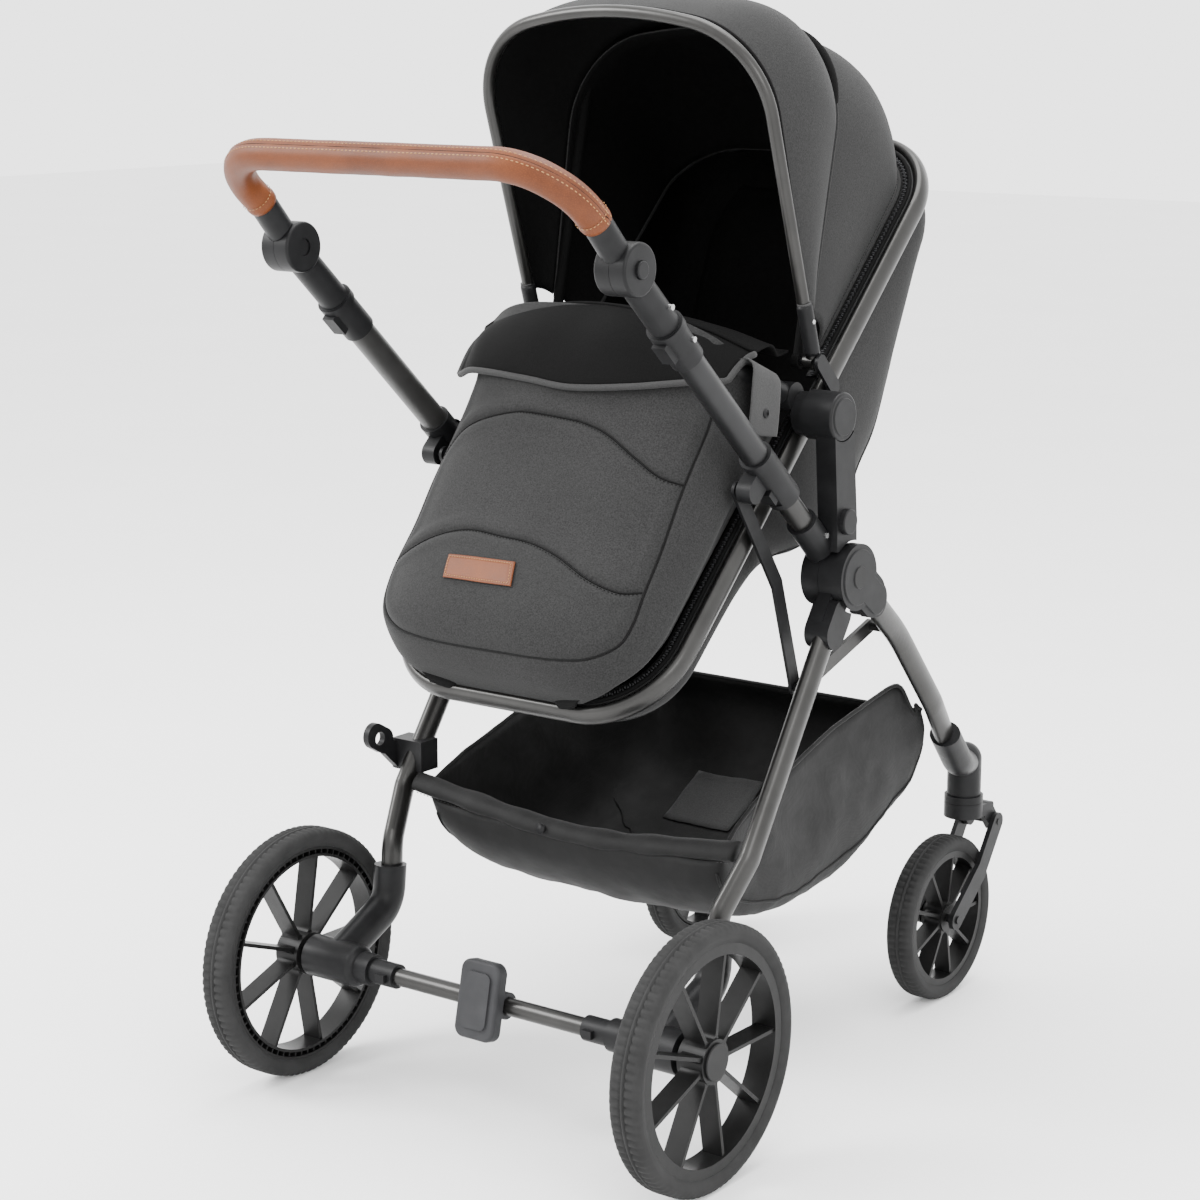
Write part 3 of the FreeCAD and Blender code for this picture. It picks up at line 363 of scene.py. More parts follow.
SLOT_MATERIALS = {
    "frame_metal": GUNMETAL, "black_plastic": BLACK_PLASTIC, "wheel_plastic": WHEEL_PLASTIC,
    "pedal_plastic": PEDAL_PLASTIC, "steel": STEEL, "tyre": RUBBER, "leather": LEATHER,
    "grey_fabric": GREY_KNIT, "black_fabric": NYLON, "foam_grip": BLACK_PLASTIC,
}
SPECIAL_MATERIALS = {"handle_tube_covers": TUBE_GUNMETAL_WITH_PAINTED_SHADE, "cross_struts": GUNMETAL, "hood_mid_bow": BLACK_KNIT}
for part in frame["record"]["subparts"]:
    node = frame["nodes"][part["node"]]
    node.data.materials.clear()
    node.data.materials.append(SPECIAL_MATERIALS.get(part["node"], SLOT_MATERIALS[part["material_slot"]]))


# ---- mesh helpers ------------------------------------------------------------------------
def make_mesh(name, points, faces, materials, smooth_faces=True):
    mesh = bpy.data.meshes.new(name)
    mesh.from_pydata([to_row(p) for p in points], [], faces)
    for material in materials if isinstance(materials, list) else [materials]:
        mesh.materials.append(material)
    mesh.polygons.foreach_set("use_smooth", [smooth_faces] * len(mesh.polygons))
    mesh.update()
    obj = bpy.data.objects.new(name, mesh)
    bpy.context.scene.collection.objects.link(obj)
    return obj


def fix_normals(obj, weld=True):
    bm = bmesh.new()
    bm.from_mesh(obj.data)
    if weld:
        bmesh.ops.remove_doubles(bm, verts=bm.verts, dist=0.00001)
    bmesh.ops.recalc_face_normals(bm, faces=bm.faces)
    bm.to_mesh(obj.data)
    bm.free()
    return obj


def grid_faces(rows, columns, closed_rows=False, closed_columns=False):
    faces = []
    for i in range(rows if closed_rows else rows - 1):
        for j in range(columns if closed_columns else columns - 1):
            a = i * columns + j
            b = i * columns + (j + 1) % columns
            c = ((i + 1) % rows) * columns + (j + 1) % columns
            d = ((i + 1) % rows) * columns + j
            faces.append((a, b, c, d))
    return faces


def grid_normals(rows):
    """Unit normals of a grid of points."""
    normals = []
    for i, row in enumerate(rows):
        line = []
        for j in range(len(row)):
            du = rows[min(i + 1, len(rows) - 1)][j] - rows[max(i - 1, 0)][j]
            dv = row[min(j + 1, len(row) - 1)] - row[max(j - 1, 0)]
            line.append(du.cross(dv).normalized() if du.cross(dv).length > 1e-6 else Vector((0, 0, 1)))
        normals.append(line)
    return normals


def cloth_shell(name, rows, thickness, outer, inner, flip_sides=False):
    """Closed sheet of cloth from a grid of points: the outer face is on the grid, the lining inside it."""
    normals = grid_normals(rows)
    sign = 1 if flip_sides else -1
    count = len(rows)
    wide = len(rows[0])
    points = [p for row in rows for p in row]
    points += [p + n * sign * thickness for row, line in zip(rows, normals) for p, n in zip(row, line)]
    top = grid_faces(count, wide)
    below = [tuple(v + count * wide for v in reversed(f)) for f in top]
    border = [(i, 0) for i in range(count)] + [(count - 1, j) for j in range(1, wide)]
    border += [(i, wide - 1) for i in range(count - 2, -1, -1)] + [(0, j) for j in range(wide - 2, 0, -1)]
    rim = []
    for k in range(len(border)):
        a = border[k][0] * wide + border[k][1]
        b = border[(k + 1) % len(border)][0] * wide + border[(k + 1) % len(border)][1]
        rim.append((a, b, b + count * wide, a + count * wide))
    obj = make_mesh(name, points, top + below + rim, [outer, inner])
    slots = [0] * len(top) + [1] * len(below) + [0] * len(rim)
    obj.data.polygons.foreach_set("material_index", slots)
    obj.data.update()
    return fix_normals(obj, weld=False)


def resample(points, step):
    """The same line, with points about step apart."""
    lengths = [0.0]
    for a, b in zip(points, points[1:]):
        lengths.append(lengths[-1] + (b - a).length)
    count = max(2, int(round(lengths[-1] / step)))
    out = []
    k = 0
    for i in range(count + 1):
        at = lengths[-1] * i / count
        while k < len(points) - 2 and lengths[k + 1] < at:
            k += 1
        span = lengths[k + 1] - lengths[k]
        out.append(points[k].lerp(points[k + 1], (at - lengths[k]) / span if span else 0.0))
    return out


def spread(points, count):
    """The same line as count points at equal spacing."""
    total = sum((b - a).length for a, b in zip(points, points[1:]))
    return resample(points, total / (count - 1) * 0.99999)[:count]


def rounded(points, radii, step_deg=7.0):
    """Straight runs through the points, each corner turned by an arc."""
    out = [points[0].copy()]
    for i in range(1, len(points) - 1):
        before = (points[i] - points[i - 1]).normalized()
        after = (points[i + 1] - points[i]).normalized()
        turn = before.angle(after)
        if turn < 1e-4:
            out.append(points[i].copy())
            continue
        start = points[i] - before * (radii[i] * math.tan(turn / 2))
        centre = points[i] + (after - before).normalized() * (radii[i] / math.cos(turn / 2))
        axis = before.cross(after).normalized()
        steps = max(2, int(math.degrees(turn) / step_deg))
        for k in range(steps + 1):
            out.append(centre + Matrix.Rotation(turn * k / steps, 3, axis) @ (start - centre))
    out.append(points[-1].copy())
    return out


def curve(points, step):
    """Smooth line through control points."""
    out = []
    n = len(points)
    for i in range(n - 1):
        p0 = points[max(i - 1, 0)]
        p1, p2 = points[i], points[i + 1]
        p3 = points[min(i + 2, n - 1)]
        parts = max(2, int((p2 - p1).length / step))
        for k in range(parts):
            t = k / parts
            out.append(0.5 * ((2 * p1) + (p2 - p0) * t + (2 * p0 - 5 * p1 + 4 * p2 - p3) * t * t
                              + (3 * p1 - p0 - 3 * p2 + p3) * t ** 3))
    out.append(points[-1].copy())
    return out


def tangents(path):
    last = len(path) - 1
    return [(path[min(i + 1, last)] - path[max(i - 1, 0)]).normalized() for i in range(len(path))]


def frames(path, up):
    """(tangent, side, up) at each point; up is a vector or one per point."""
    out = []
    for i, t in enumerate(tangents(path)):
        u = up[i] if isinstance(up, list) else up
        side = t.cross(u)
        if side.length < 1e-4:
            side = t.cross(Vector((0.3, 0.5, 0.8)))
        side = side.normalized()
        out.append((t, side, side.cross(t).normalized()))
    return out


def loft_faces(rings, sides):
    """Faces of a tube of points with flat ends."""
    faces = grid_faces(rings, sides, False, True)
    faces.append(tuple(range(sides)))
    faces.append(tuple(reversed(range((rings - 1) * sides, rings * sides))))
    return faces


def tube(name, path, radius, material, up=Vector((0, 0, 1)), sides=20, flat=1.0):
    """Round tube along a path. radius is a number or a function of the share of the length.
    flat squeezes it along up."""
    points = []
    last = len(path) - 1
    for i, (t, side, lift) in enumerate(frames(path, up)):
        r = radius(i / last) if callable(radius) else radius
        for k in range(sides):
            a = 2 * math.pi * k / sides
            points.append(path[i] + side * math.cos(a) * r + lift * math.sin(a) * r * flat)
    return fix_normals(make_mesh(name, points, loft_faces(len(path), sides), material))


def band(name, path, normals, width, thickness, material):
    """Flat strip of cloth or webbing along a path, lying square to normals, with rounded edges."""
    points = []
    section = [(-0.5, 0.0), (-0.44, 0.5), (-0.2, 0.5), (0.2, 0.5), (0.44, 0.5), (0.5, 0.0),
               (0.44, -0.5), (0.2, -0.5), (-0.2, -0.5), (-0.44, -0.5)]
    for i, (t, side, lift) in enumerate(frames(path, normals)):
        points += [path[i] + side * a * width + lift * (b * thickness) for a, b in section]
    return fix_normals(make_mesh(name, points, loft_faces(len(path), len(section)), material))


def capsules(name, segments, radius, material, sides=5):
    """Small round-ended pieces, such as stitches, one for each (start, end)."""
    points = []
    faces = []
    for a, b in segments:
        t = (b - a).normalized()
        side = t.cross(Vector((0.31, 0.42, 0.85))).normalized()
        lift = side.cross(t)
        base = len(points)
        points.append(a)
        for share in (0.22, 0.78):
            centre = a.lerp(b, share)
            for k in range(sides):
                turn = 2 * math.pi * k / sides
                points.append(centre + side * math.cos(turn) * radius + lift * math.sin(turn) * radius)
        points.append(b)
        for k in range(sides):
            j = (k + 1) % sides
            faces.append((base, base + 1 + k, base + 1 + j))
            faces.append((base + 1 + k, base + 1 + sides + k, base + 1 + sides + j, base + 1 + j))
            faces.append((base + 1 + sides + k, base + 1 + 2 * sides, base + 1 + sides + j))
    return fix_normals(make_mesh(name, points, faces, material))


def stitches(name, path, length, gap, radius, material):
    """A row of stitches along a path."""
    line = resample(path, length + gap)
    share = length / (length + gap)
    return capsules(name, [(a, a.lerp(b, share)) for a, b in zip(line, line[1:])], radius, material)


def merge(name, objects):
    """One object from several, keeping their materials."""
    target = objects[0]
    bm = bmesh.new()
    slots = []
    for obj in objects:
        for material in obj.data.materials:
            if material not in slots:
                slots.append(material)
    for obj in objects:
        part = bmesh.new()
        part.from_mesh(obj.data)
        lookup = [slots.index(m) for m in obj.data.materials]
        for face in part.faces:
            face.material_index = lookup[face.material_index]
        spare = bpy.data.meshes.new("spare")
        part.to_mesh(spare)
        part.free()
        bm.from_mesh(spare)
        bpy.data.meshes.remove(spare)
    target.data.materials.clear()
    for material in slots:
        target.data.materials.append(material)
    bm.to_mesh(target.data)
    bm.free()
    for obj in objects[1:]:
        bpy.data.objects.remove(obj)
    target.name = name
    target.data.name = name
    return target


def place(obj, body, slot, *nodes):
    """The piece rides on a body and stands for CAD nodes, which it hides; slot is not used."""
    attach(obj, body)
    if nodes:
        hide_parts(*nodes)
    return obj


def wrinkle(p, size, seed=0.0):
    """Slow noise between -1 and 1 at a place."""
    return noise.noise(Vector((p.x / size + seed, p.y / size - seed, p.z / size + 3 * seed)))


# ---- hood --------------------------------------------------------------------------------
HOOD_STEPS = 97


def bow_outline(half, apex, slope, corner, crown, start):
    """Points (x, r) from the left foot over the top to the right foot."""
    fall = math.tan(math.radians(slope))
    shoulder = apex - half * fall
    points = [(-half, start), (-half, shoulder), (0, apex), (half, shoulder), (half, start)]
    line = rounded([Vector((x, r, 0)) for x, r in points], [0, corner, crown, corner, 0], 4)
    return [(p.x, p.y) for p in spread(line, HOOD_STEPS)]


def back_edge():
    """(x, r, degrees) of the zip line inside the seat frame, left foot to right foot."""
    half = SEAT_HALF_W - RAIL_HALF - 15
    top = SEAT_HEAD - RAIL_HALF - 15
    corner = SEAT_CORNER_R - RAIL_HALF - 12
    points = [(-half, 96), (-half, top), (half, top), (half, 96)]
    line = rounded([Vector((x, s, 0)) for x, s in points], [0, corner, corner, 0], 4)
    out = []
    for p in spread(line, HOOD_STEPS):
        at = seat_point(p.x, p.y, 13)
        dy, dz = at.y - HOOD_PIVOT[0], at.z - HOOD_PIVOT[1]
        out.append((p.x, math.hypot(dy, dz), math.degrees(math.atan2(dz, dy))))
    return out


FRONT_HALF = 190
FRONT_EDGE = bow_outline(FRONT_HALF, 405, 12, 105, 480, 58)
SEAM_EDGE = bow_outline(178, 369, 8, 110, 400, 52)
BACK_EDGE = back_edge()


def fan(edge_a, edge_b, steps, shape):
    """Grid between two outlines of (x, r, degrees). shape gives the place at a share of the way."""
    return [[hood_point(*shape(i / steps, a, b)) for a, b in zip(edge_a, edge_b)] for i in range(steps + 1)]


FULL_R = 330


def front_shape(v, a, b):
    size = min(1.0, a[1] / FULL_R)
    middle = math.sin(math.pi * v)
    r = lerp(a[1], b[1], v ** 4) + 5 * middle * size
    x = lerp(a[0], b[0], v ** 3) * (1 + 0.012 * middle)
    degrees = lerp(a[2], b[2], v)
    r += 2.2 * size * wrinkle(hood_point(x, r, degrees), 95, 0.3) * middle
    return x, r, degrees


def rear_shape(v, a, b):
    size = min(1.0, a[1] / FULL_R)
    middle = math.sin(math.pi * v)
    full = max(0.0, (v - 0.12) / 0.88)
    r = lerp(a[1], b[1], v ** 4) + 21 * math.sin(math.pi * full ** 0.9) * size
    x = lerp(a[0], b[0], v ** 2) * (1 + 0.02 * middle)
    degrees = lerp(a[2], b[2], v)
    r += 2.5 * size * wrinkle(hood_point(x, r, degrees), 80, 1.3) * middle
    return x, r, degrees


def build_hood():
    front = [(x, r, BOW_ANGLE - 1.2) for x, r in FRONT_EDGE]
    seam = [(x, r, MID_BOW_ANGLE) for x, r in SEAM_EDGE]
    tucked = [(x * 0.98, r - 3, MID_BOW_ANGLE + 4) for x, r in SEAM_EDGE]
    front_rows = fan(front, seam, 22, front_shape)
    cloth = cloth_shell("hood_front_cloth", front_rows, 2.0, GREY_KNIT, BLACK_KNIT, flip_sides=True)
    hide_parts("hood_front_panel")
    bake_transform(cloth)

    rear_rows = fan(tucked, BACK_EDGE, 26, rear_shape)
    rear = cloth_shell("hood_rear_cloth", rear_rows, 2.0, GREY_KNIT, BLACK_KNIT, flip_sides=True)
    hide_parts("hood_rear_panel")
    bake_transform(rear)

    edge = [hood_point(x * 1.001, r + 1.5, MID_BOW_ANGLE) for x, r in SEAM_EDGE]
    piping = tube("hood_seam_piping", resample(edge, 8), 2.0, GREY_KNIT, sides=10)
    place(piping, "hood_mid", "grey_fabric")
    lip = [hood_point(x * 1.003, r - 0.5, BOW_ANGLE - 2.0) for x, r in FRONT_EDGE]
    place(tube("hood_bow_piping", resample(lip, 8), 2.6, BLACK_KNIT, sides=10), "hood_front", "grey_fabric")
    hem = [hood_point(x, r + 1.5, d) for x, r, d in BACK_EDGE]
    place(tube("hood_back_piping", resample(hem, 8), 3.0, GREY_KNIT, sides=10), "seat", "grey_fabric")
    place(stitches("hood_back_stitches", rear_rows[-2], 2.6, 1.6, 0.5, BLACK_THREAD), "seat", "grey_fabric")


def build_hood_feet():
    """Black sleeves on the lower ends of the front bow, each with a screw."""
    for side, sign in (("left", -1), ("right", 1)):
        low = hood_point(sign * FRONT_HALF, 10, BOW_ANGLE)
        top = hood_point(sign * FRONT_HALF, 68, BOW_ANGLE)
        sleeve = tube("bow_sleeve_" + side, resample([low, top], 4),
                      lambda t: 8.9 - 0.9 * smooth((t - 0.93) / 0.07), BLACK_PLASTIC, up=Vector((1, 0, 0)))
        line_end = hood_point(sign * FRONT_HALF, 70, BOW_ANGLE)
        collar = tube("bow_sleeve_line", [top, line_end], 8.0, GREY_THREAD, up=Vector((1, 0, 0)))
        place(merge("bow_sleeve_" + side, [sleeve, collar]), "hood_front", "black_plastic")
        at = hood_point(sign * (FRONT_HALF + 8), 48, BOW_ANGLE)
        screw = tube("bow_screw_" + side, [at, at + Vector((sign * 1.6, 0, 0))], 2.4, STEEL, sides=12)
        place(screw, "hood_front", "steel")


# ---- seat shell --------------------------------------------------------------------------
TUB_DEPTH = [(-394, 30), (-386, 40), (-376, 48), (-350, 58), (-300, 64), (-264, 66), (-201, 72), (-140, 92),
             (-105, 122), (-68, 162), (-20, 190), (40, 200), (66, 195), (115, 190), (172, 164), (226, 136),
             (309, 92), (350, 76), (385, 60), (398, 46), (404, 34)]


def half_width(s, margin):
    """Half width inside the seat frame at s."""
    w = SEAT_HALF_W - RAIL_HALF - margin
    r = SEAT_CORNER_R - RAIL_HALF
    low = SEAT_FOOT + RAIL_HALF + margin + r
    high = SEAT_HEAD - RAIL_HALF - margin - r
    beyond = max(low - s, s - high, 0)
    return w - r + math.sqrt(max(r * r - beyond * beyond, 0))


def superellipse(a, power):
    """(across, down) on a rounded section, a from 0 to pi."""
    c, s = math.cos(a), math.sin(a)
    return math.copysign(abs(c) ** (2 / power), c), abs(s) ** (2 / power)


def even_section(power, aspect, count):
    """(across, down) places on a rounded section, evenly spaced where depth / half width is aspect."""
    fine = [superellipse(math.pi * k / 900, power) for k in range(901)]
    line = spread([Vector((across, down * aspect, 0)) for across, down in fine], count)
    return [(p.x, p.y / aspect) for p in line]


def tub_rows(inside):
    """Seat shell as rows across it, from the foot end to the head end."""
    section = even_section(4.4, 0.7, 61)
    rows = []
    stations = 88
    for i in range(stations + 1):
        s = lerp(TUB_DEPTH[0][0], TUB_DEPTH[-1][0], i / stations)
        depth = table(TUB_DEPTH, s) - inside
        half = max(half_width(s, 1.5) - inside, 14)
        row = []
        for across, down in section:
            bulge = 1.0 + 0.02 * math.sin(math.pi * down)
            p = seat_point(half * across * bulge, s, -depth * down + (1 - down) * 2)
            row.append(p + SEAT_NORMAL * (2.4 * wrinkle(p, 70, 2.1) * down))
        rows.append(row)
    return closed_end(rows[0], -2.0) + rows + closed_end(rows[-1], -2.0)[::-1]


def closed_end(row, lift):
    """Rows that close a trough's end by drawing its section up to the line between its edges."""
    out = []
    for share in (0.0, 0.3, 0.6, 0.85):
        line = []
        for k, p in enumerate(row):
            edge = row[0].lerp(row[-1], k / (len(row) - 1)) + SEAT_NORMAL * lift
            line.append(edge.lerp(p, share))
        out.append(line)
    return out


def build_tub():
    tub = cloth_shell("seat_shell_cloth", tub_rows(0), 5.0, GREY_KNIT, BLACK_KNIT, flip_sides=True)
    place(tub, "seat", "grey_fabric", "seat_tub")
    rows = tub_rows(-0.4)
    for name, column in (("left", 12), ("right", 48)):
        line = [row[column] for row in rows[4:-4]]
        seam = tube("seat_shell_seam_" + name, resample(line, 10), 1.3, GREY_KNIT, sides=8)
        place(seam, "seat", "grey_fabric")
    inner = tub_rows(7)
    pad_rows = [[row[j] for j in range(14, 47)] for row in inner[6:-6]]
    for i, row in enumerate(pad_rows):
        for j, p in enumerate(row):
            edge = min(i, len(pad_rows) - 1 - i, j, len(row) - 1 - j)
            row[j] = p + SEAT_NORMAL * (12 * smooth(edge / 4))
    liner = cloth_shell("seat_liner", pad_rows, 6.0, BLACK_KNIT, BLACK_KNIT)
    place(liner, "seat", "grey_fabric")


def loop_path(margin, n, part, step):
    """Line inside the seat frame, margin in from the rail, n above the plane. part is foot or head."""
    half = SEAT_HALF_W - RAIL_HALF - margin
    corner = SEAT_CORNER_R - RAIL_HALF - margin * 0.8
    if part == "foot":
        x, start, end = -half, 30, SEAT_FOOT + RAIL_HALF + margin
    else:
        x, start, end = half, 60, SEAT_HEAD - RAIL_HALF - margin
    ends = [seat_point(x, start, n), seat_point(x, end, n), seat_point(-x, end, n), seat_point(-x, start, n)]
    line = rounded(ends, [0, corner, corner, 0], 5)
    return resample(line, step)


def build_zip(part):
    """Zip tape and teeth just inside the seat frame."""
    normal = SEAT_NORMAL
    tape = band("zip_tape_" + part, loop_path(6.0, 9.0, part, 8), normal, 17, 2.0, ZIP_TAPE)
    guard = tube("zip_cord_" + part, loop_path(2.2, 10.5, part, 8), 2.6, BLACK_KNIT, sides=10)
    chain = resample(loop_path(7.0, 11.2, part, 2), 3.0)
    segments = []
    reach = 2.6
    for k, (t, side, lift) in enumerate(frames(chain, normal)):
        shift = 0.8 if k % 2 else -0.8
        segments.append((chain[k] + side * (shift - reach), chain[k] + side * (shift + reach)))
    teeth = capsules("zip_teeth_" + part, segments, 1.1, PEDAL_PLASTIC, 4)
    whole = merge("zip_" + part, [tape, guard, teeth])
    place(whole, "seat", "black_fabric")


# ---- leg cover ---------------------------------------------------------------------------
APRON_HEIGHT = [(-400, 44), (-395, 64), (-382, 86), (-358, 104), (-315, 115), (-253, 120), (-195, 134),
                (-127, 148), (-96, 156), (-60, 172), (-36, 189), (-14, 197)]
APRON_HALF = [(-400, 112), (-394, 132), (-382, 152), (-360, 174), (-335, 184), (-290, 188), (-200, 189),
              (-100, 188), (-14, 182)]


def apron_point(s, a, lift=0.0):
    """Point of the leg cover's outer face: a from 0 at the right edge to pi at the left edge."""
    across, up = superellipse(a, 3.3)
    foot = smooth((s + 400) / 40)
    height = table(APRON_HEIGHT, s)
    half = table(APRON_HALF, s)
    edge = half_width(s, 16.0)
    x = lerp(edge, half, smooth(up * 2.6)) * across
    n = lerp(10, height, up)
    crown = 4.0 * math.cos(math.pi * x / 2 / max(half, 1)) * foot
    p = seat_point(x, s, n + (crown + lift) * up)
    p += SEAT_NORMAL * (2.6 * wrinkle(p, 85, 5.2) * abs(math.sin(a)) ** 0.5)
    side = Vector((math.copysign(1, across), 0, 0))
    return p + side * lift * abs(across) ** 3


COVER_BORDER = [(-16, 38), (-93, 38), (-162, 39), (-237, 38), (-289, 36), (-332, 33), (-358, 34), (-377, 45),
                (-386, 66), (-388, 90), (-386, 114), (-377, 135), (-358, 146), (-332, 147), (-289, 144),
                (-237, 142), (-162, 141), (-93, 142), (-16, 142)]
UPPER_WAVE = [(-172, 141), (-156, 134), (-142, 125), (-131, 106), (-128, 95), (-138, 83), (-160, 68),
              (-173, 53), (-170, 39)]
LOWER_WAVE = [(-302, 145), (-292, 130), (-279, 115), (-269, 100), (-272, 91), (-283, 82), (-302, 67),
              (-307, 50), (-296, 37)]
PATCH_WIDE = 62
PATCH_TALL = 28
PATCH_CORNERS = [(-304, 101.5), (-303, 88.5), (-331, 87.5), (-331, 100.5)]


def cover_line(stations, lift=0.0, along=0.0):
    """Line on the leg cover through (s, degrees) stations."""
    path = curve([Vector((s, d, 0)) for s, d in stations], 2.0)
    return [apron_point(p.x + along, math.radians(p.y), lift) for p in path]


def build_apron():
    seams = [cover_line(line) for line in (COVER_BORDER, UPPER_WAVE, LOWER_WAVE)]
    spots = [p for seam in seams for p in resample(seam, 1.5)]
    near = kdtree.KDTree(len(spots))
    for k, p in enumerate(spots):
        near.insert(p, k)
    near.balance()
    rows = []
    for i in range(201):
        s = lerp(APRON_HEIGHT[0][0], APRON_HEIGHT[-1][0], i / 200)
        row = []
        for j in range(201):
            p = apron_point(s, math.pi * j / 200)
            away = near.find(p)[2]
            puff = 2.0 * math.exp(-((away - 11) / 8) ** 2)
            crease = 3.0 * math.exp(-(away / 2.6) ** 2)
            p += unit(SEAT_TILT + 96) * (puff - crease)
            row.append(p)
        rows.append(row)
    rows = closed_end(rows[0], -3.0) + rows
    cover = cloth_shell("leg_cover", rows, 6.0, GREY_KNIT, BLACK_KNIT)
    place(cover, "seat", "grey_fabric", "apron")
    lines = []
    for seam in seams:
        dip = [p - SEAT_NORMAL * 1.6 for p in seam]
        lines.append(tube("cover_seam", resample(dip, 4), 1.1, BLACK_THREAD, sides=6))
    for stations in (UPPER_WAVE, LOWER_WAVE):
        beside = cover_line(stations, 1.2, along=-3.4)
        lines.append(stitches("cover_stitches", beside, 2.6, 1.8, 0.5, BLACK_THREAD))
    place(merge("cover_seams", lines), "seat", "grey_fabric")
    build_patch()


def patch_point(u, v, lift):
    """Point of the leather patch: u across it, v down it."""
    top = [lerp(a, b, u) for a, b in zip(PATCH_CORNERS[0], PATCH_CORNERS[1])]
    low = [lerp(a, b, u) for a, b in zip(PATCH_CORNERS[3], PATCH_CORNERS[2])]
    s, d = (lerp(a, b, v) for a, b in zip(top, low))
    return apron_point(s, math.radians(d), lift)


def build_patch():
    rows = []
    for i in range(31):
        rows.append([])
        for j in range(61):
            u, v = j / 60, i / 30
            edge = min(min(u, 1 - u) * PATCH_WIDE, min(v, 1 - v) * PATCH_TALL)
            press = 0.5 * math.exp(-((edge - 2.6) / 0.8) ** 2)
            rows[-1].append(patch_point(u, v, 2.6 + 0.5 * smooth(edge / 1.6) - press))
    patch = cloth_shell("leather_patch", rows, 1.8, LEATHER, LEATHER)
    place(patch, "seat", "leather")
    inset = [(0.04, 0.1), (0.96, 0.1), (0.96, 0.9), (0.04, 0.9), (0.04, 0.1)]
    ring = []
    for (ua, va), (ub, vb) in zip(inset, inset[1:]):
        ring += [patch_point(lerp(ua, ub, k / 12), lerp(va, vb, k / 12), 3.1) for k in range(12)]
    ring.append(ring[0].copy())
    place(stitches("patch_stitches", ring, 2.2, 1.2, 0.45, TAN_THREAD), "seat", "leather")


def build_strap():
    """Loop of the leg cover that goes over the right arm of the bumper bar and snaps shut."""
    arm = Vector((0, -0.924, 0.383))
    up = Vector((0, 0.383, 0.924))
    centre = Vector((179, 236, 813))  # where the strap crosses the arm
    side = Vector((1, 0, 0))
    spots = [(-14.5, -34), (-14.5, -8), (-12.5, 6), (-7, 12.5), (0, 14.5), (7, 12.5), (12.5, 6), (14.6, -8),
             (15.4, -34), (15.0, -58)]
    path = resample(curve([centre + side * a + up * b - arm * max(0, -b) * 0.25 for a, b in spots], 2), 3)
    normals = [t.cross(arm).normalized() for t in tangents(path)]
    if normals[len(normals) // 2].dot(up) < 0:
        normals = [-n for n in normals]
    strap = band("bumper_strap", path, normals, 58, 2.2, STRAP_CLOTH)
    place(strap, "seat", "grey_fabric")
    snap = tube("strap_snap", [path[-9], path[-9] + side * 2.2], 5.0, BLACK_PLASTIC, sides=20)
    place(snap, "seat", "black_plastic")


FLAP_TOP = [(-190, (-8, 118)), (-170, (-15, 141)), (-100, (-20, 181)), (0, (-13, 196)), (80, (-18, 195)),
            (140, (-10, 160)), (178, (-4, 121))]
FLAP_HEM = [(-192, (-68, 118)), (-150, (-80, 146)), (-60, (-92, 156)), (0, (-99, 158)), (80, (-92, 160)),
            (140, (-72, 150)), (172, (-52, 132))]


def flap_line(stations, x, lift):
    s = table([(k, v[0]) for k, v in stations], x)
    n = table([(k, v[1]) for k, v in stations], x)
    return seat_point(x, s, n + lift)


def build_flap():
    """Top of the leg cover, folded down over its own front so that the black lining shows."""
    rows = []
    columns = 61
    for i in range(21):
        v = i / 20
        row = []
        for j in range(columns):
            share = j / (columns - 1)
            x_top = lerp(-190, 178, share)
            x_hem = lerp(-193, 173, share)
            top = flap_line(FLAP_TOP, x_top, 4)
            hem = flap_line(FLAP_HEM, x_hem, 5)
            p = top.lerp(hem, v)
            swell = 15 * math.sin(math.pi * v ** 0.8)
            swell *= math.sin(math.pi * min(max(share, 0.03), 0.97)) ** 0.4
            p += unit(SEAT_TILT + 100) * swell
            p += SEAT_NORMAL * (3.5 * wrinkle(p, 60, 8.4) * math.sin(math.pi * min(v + 0.1, 1)))
            row.append(p)
        rows.append(row)
    flap = cloth_shell("leg_cover_flap", rows, 4.0, BLACK_KNIT, GREY_KNIT)
    place(flap, "seat", "grey_fabric")
    edge = [row[0] for row in rows] + rows[-1][1:-1] + [row[-1] for row in reversed(rows)]
    place(tube("flap_piping", resample(edge, 6), 3.6, PIPING, sides=12), "seat", "grey_fabric")
    back = []
    for i in range(13):
        v = i / 12
        row = []
        for j in range(columns):
            p = rows[0][j]
            drop = seat_point(p.x * 0.93, 22 + 30 * v, 60)
            row.append(p.lerp(drop, v) + SEAT_ALONG * (16 * math.sin(math.pi * min(v * 1.4, 1))))
        back.append(row)
    lining = cloth_shell("leg_cover_lining", back, 3.0, BLACK_KNIT, BLACK_KNIT)
    place(lining, "seat", "grey_fabric")


# ---- basket ------------------------------------------------------------------------------
BASKET_PROFILE = [(140, 300), (147, 268), (172, 236), (214, 212), (277, 196), (336, 188), (427, 199),
                  (491, 222), (540, 246), (578, 272), (592, 310), (592, 350), (572, 382)]
BASKET_TOP_BACK = (150, 322)
BASKET_TOP_FRONT = (508, 428)


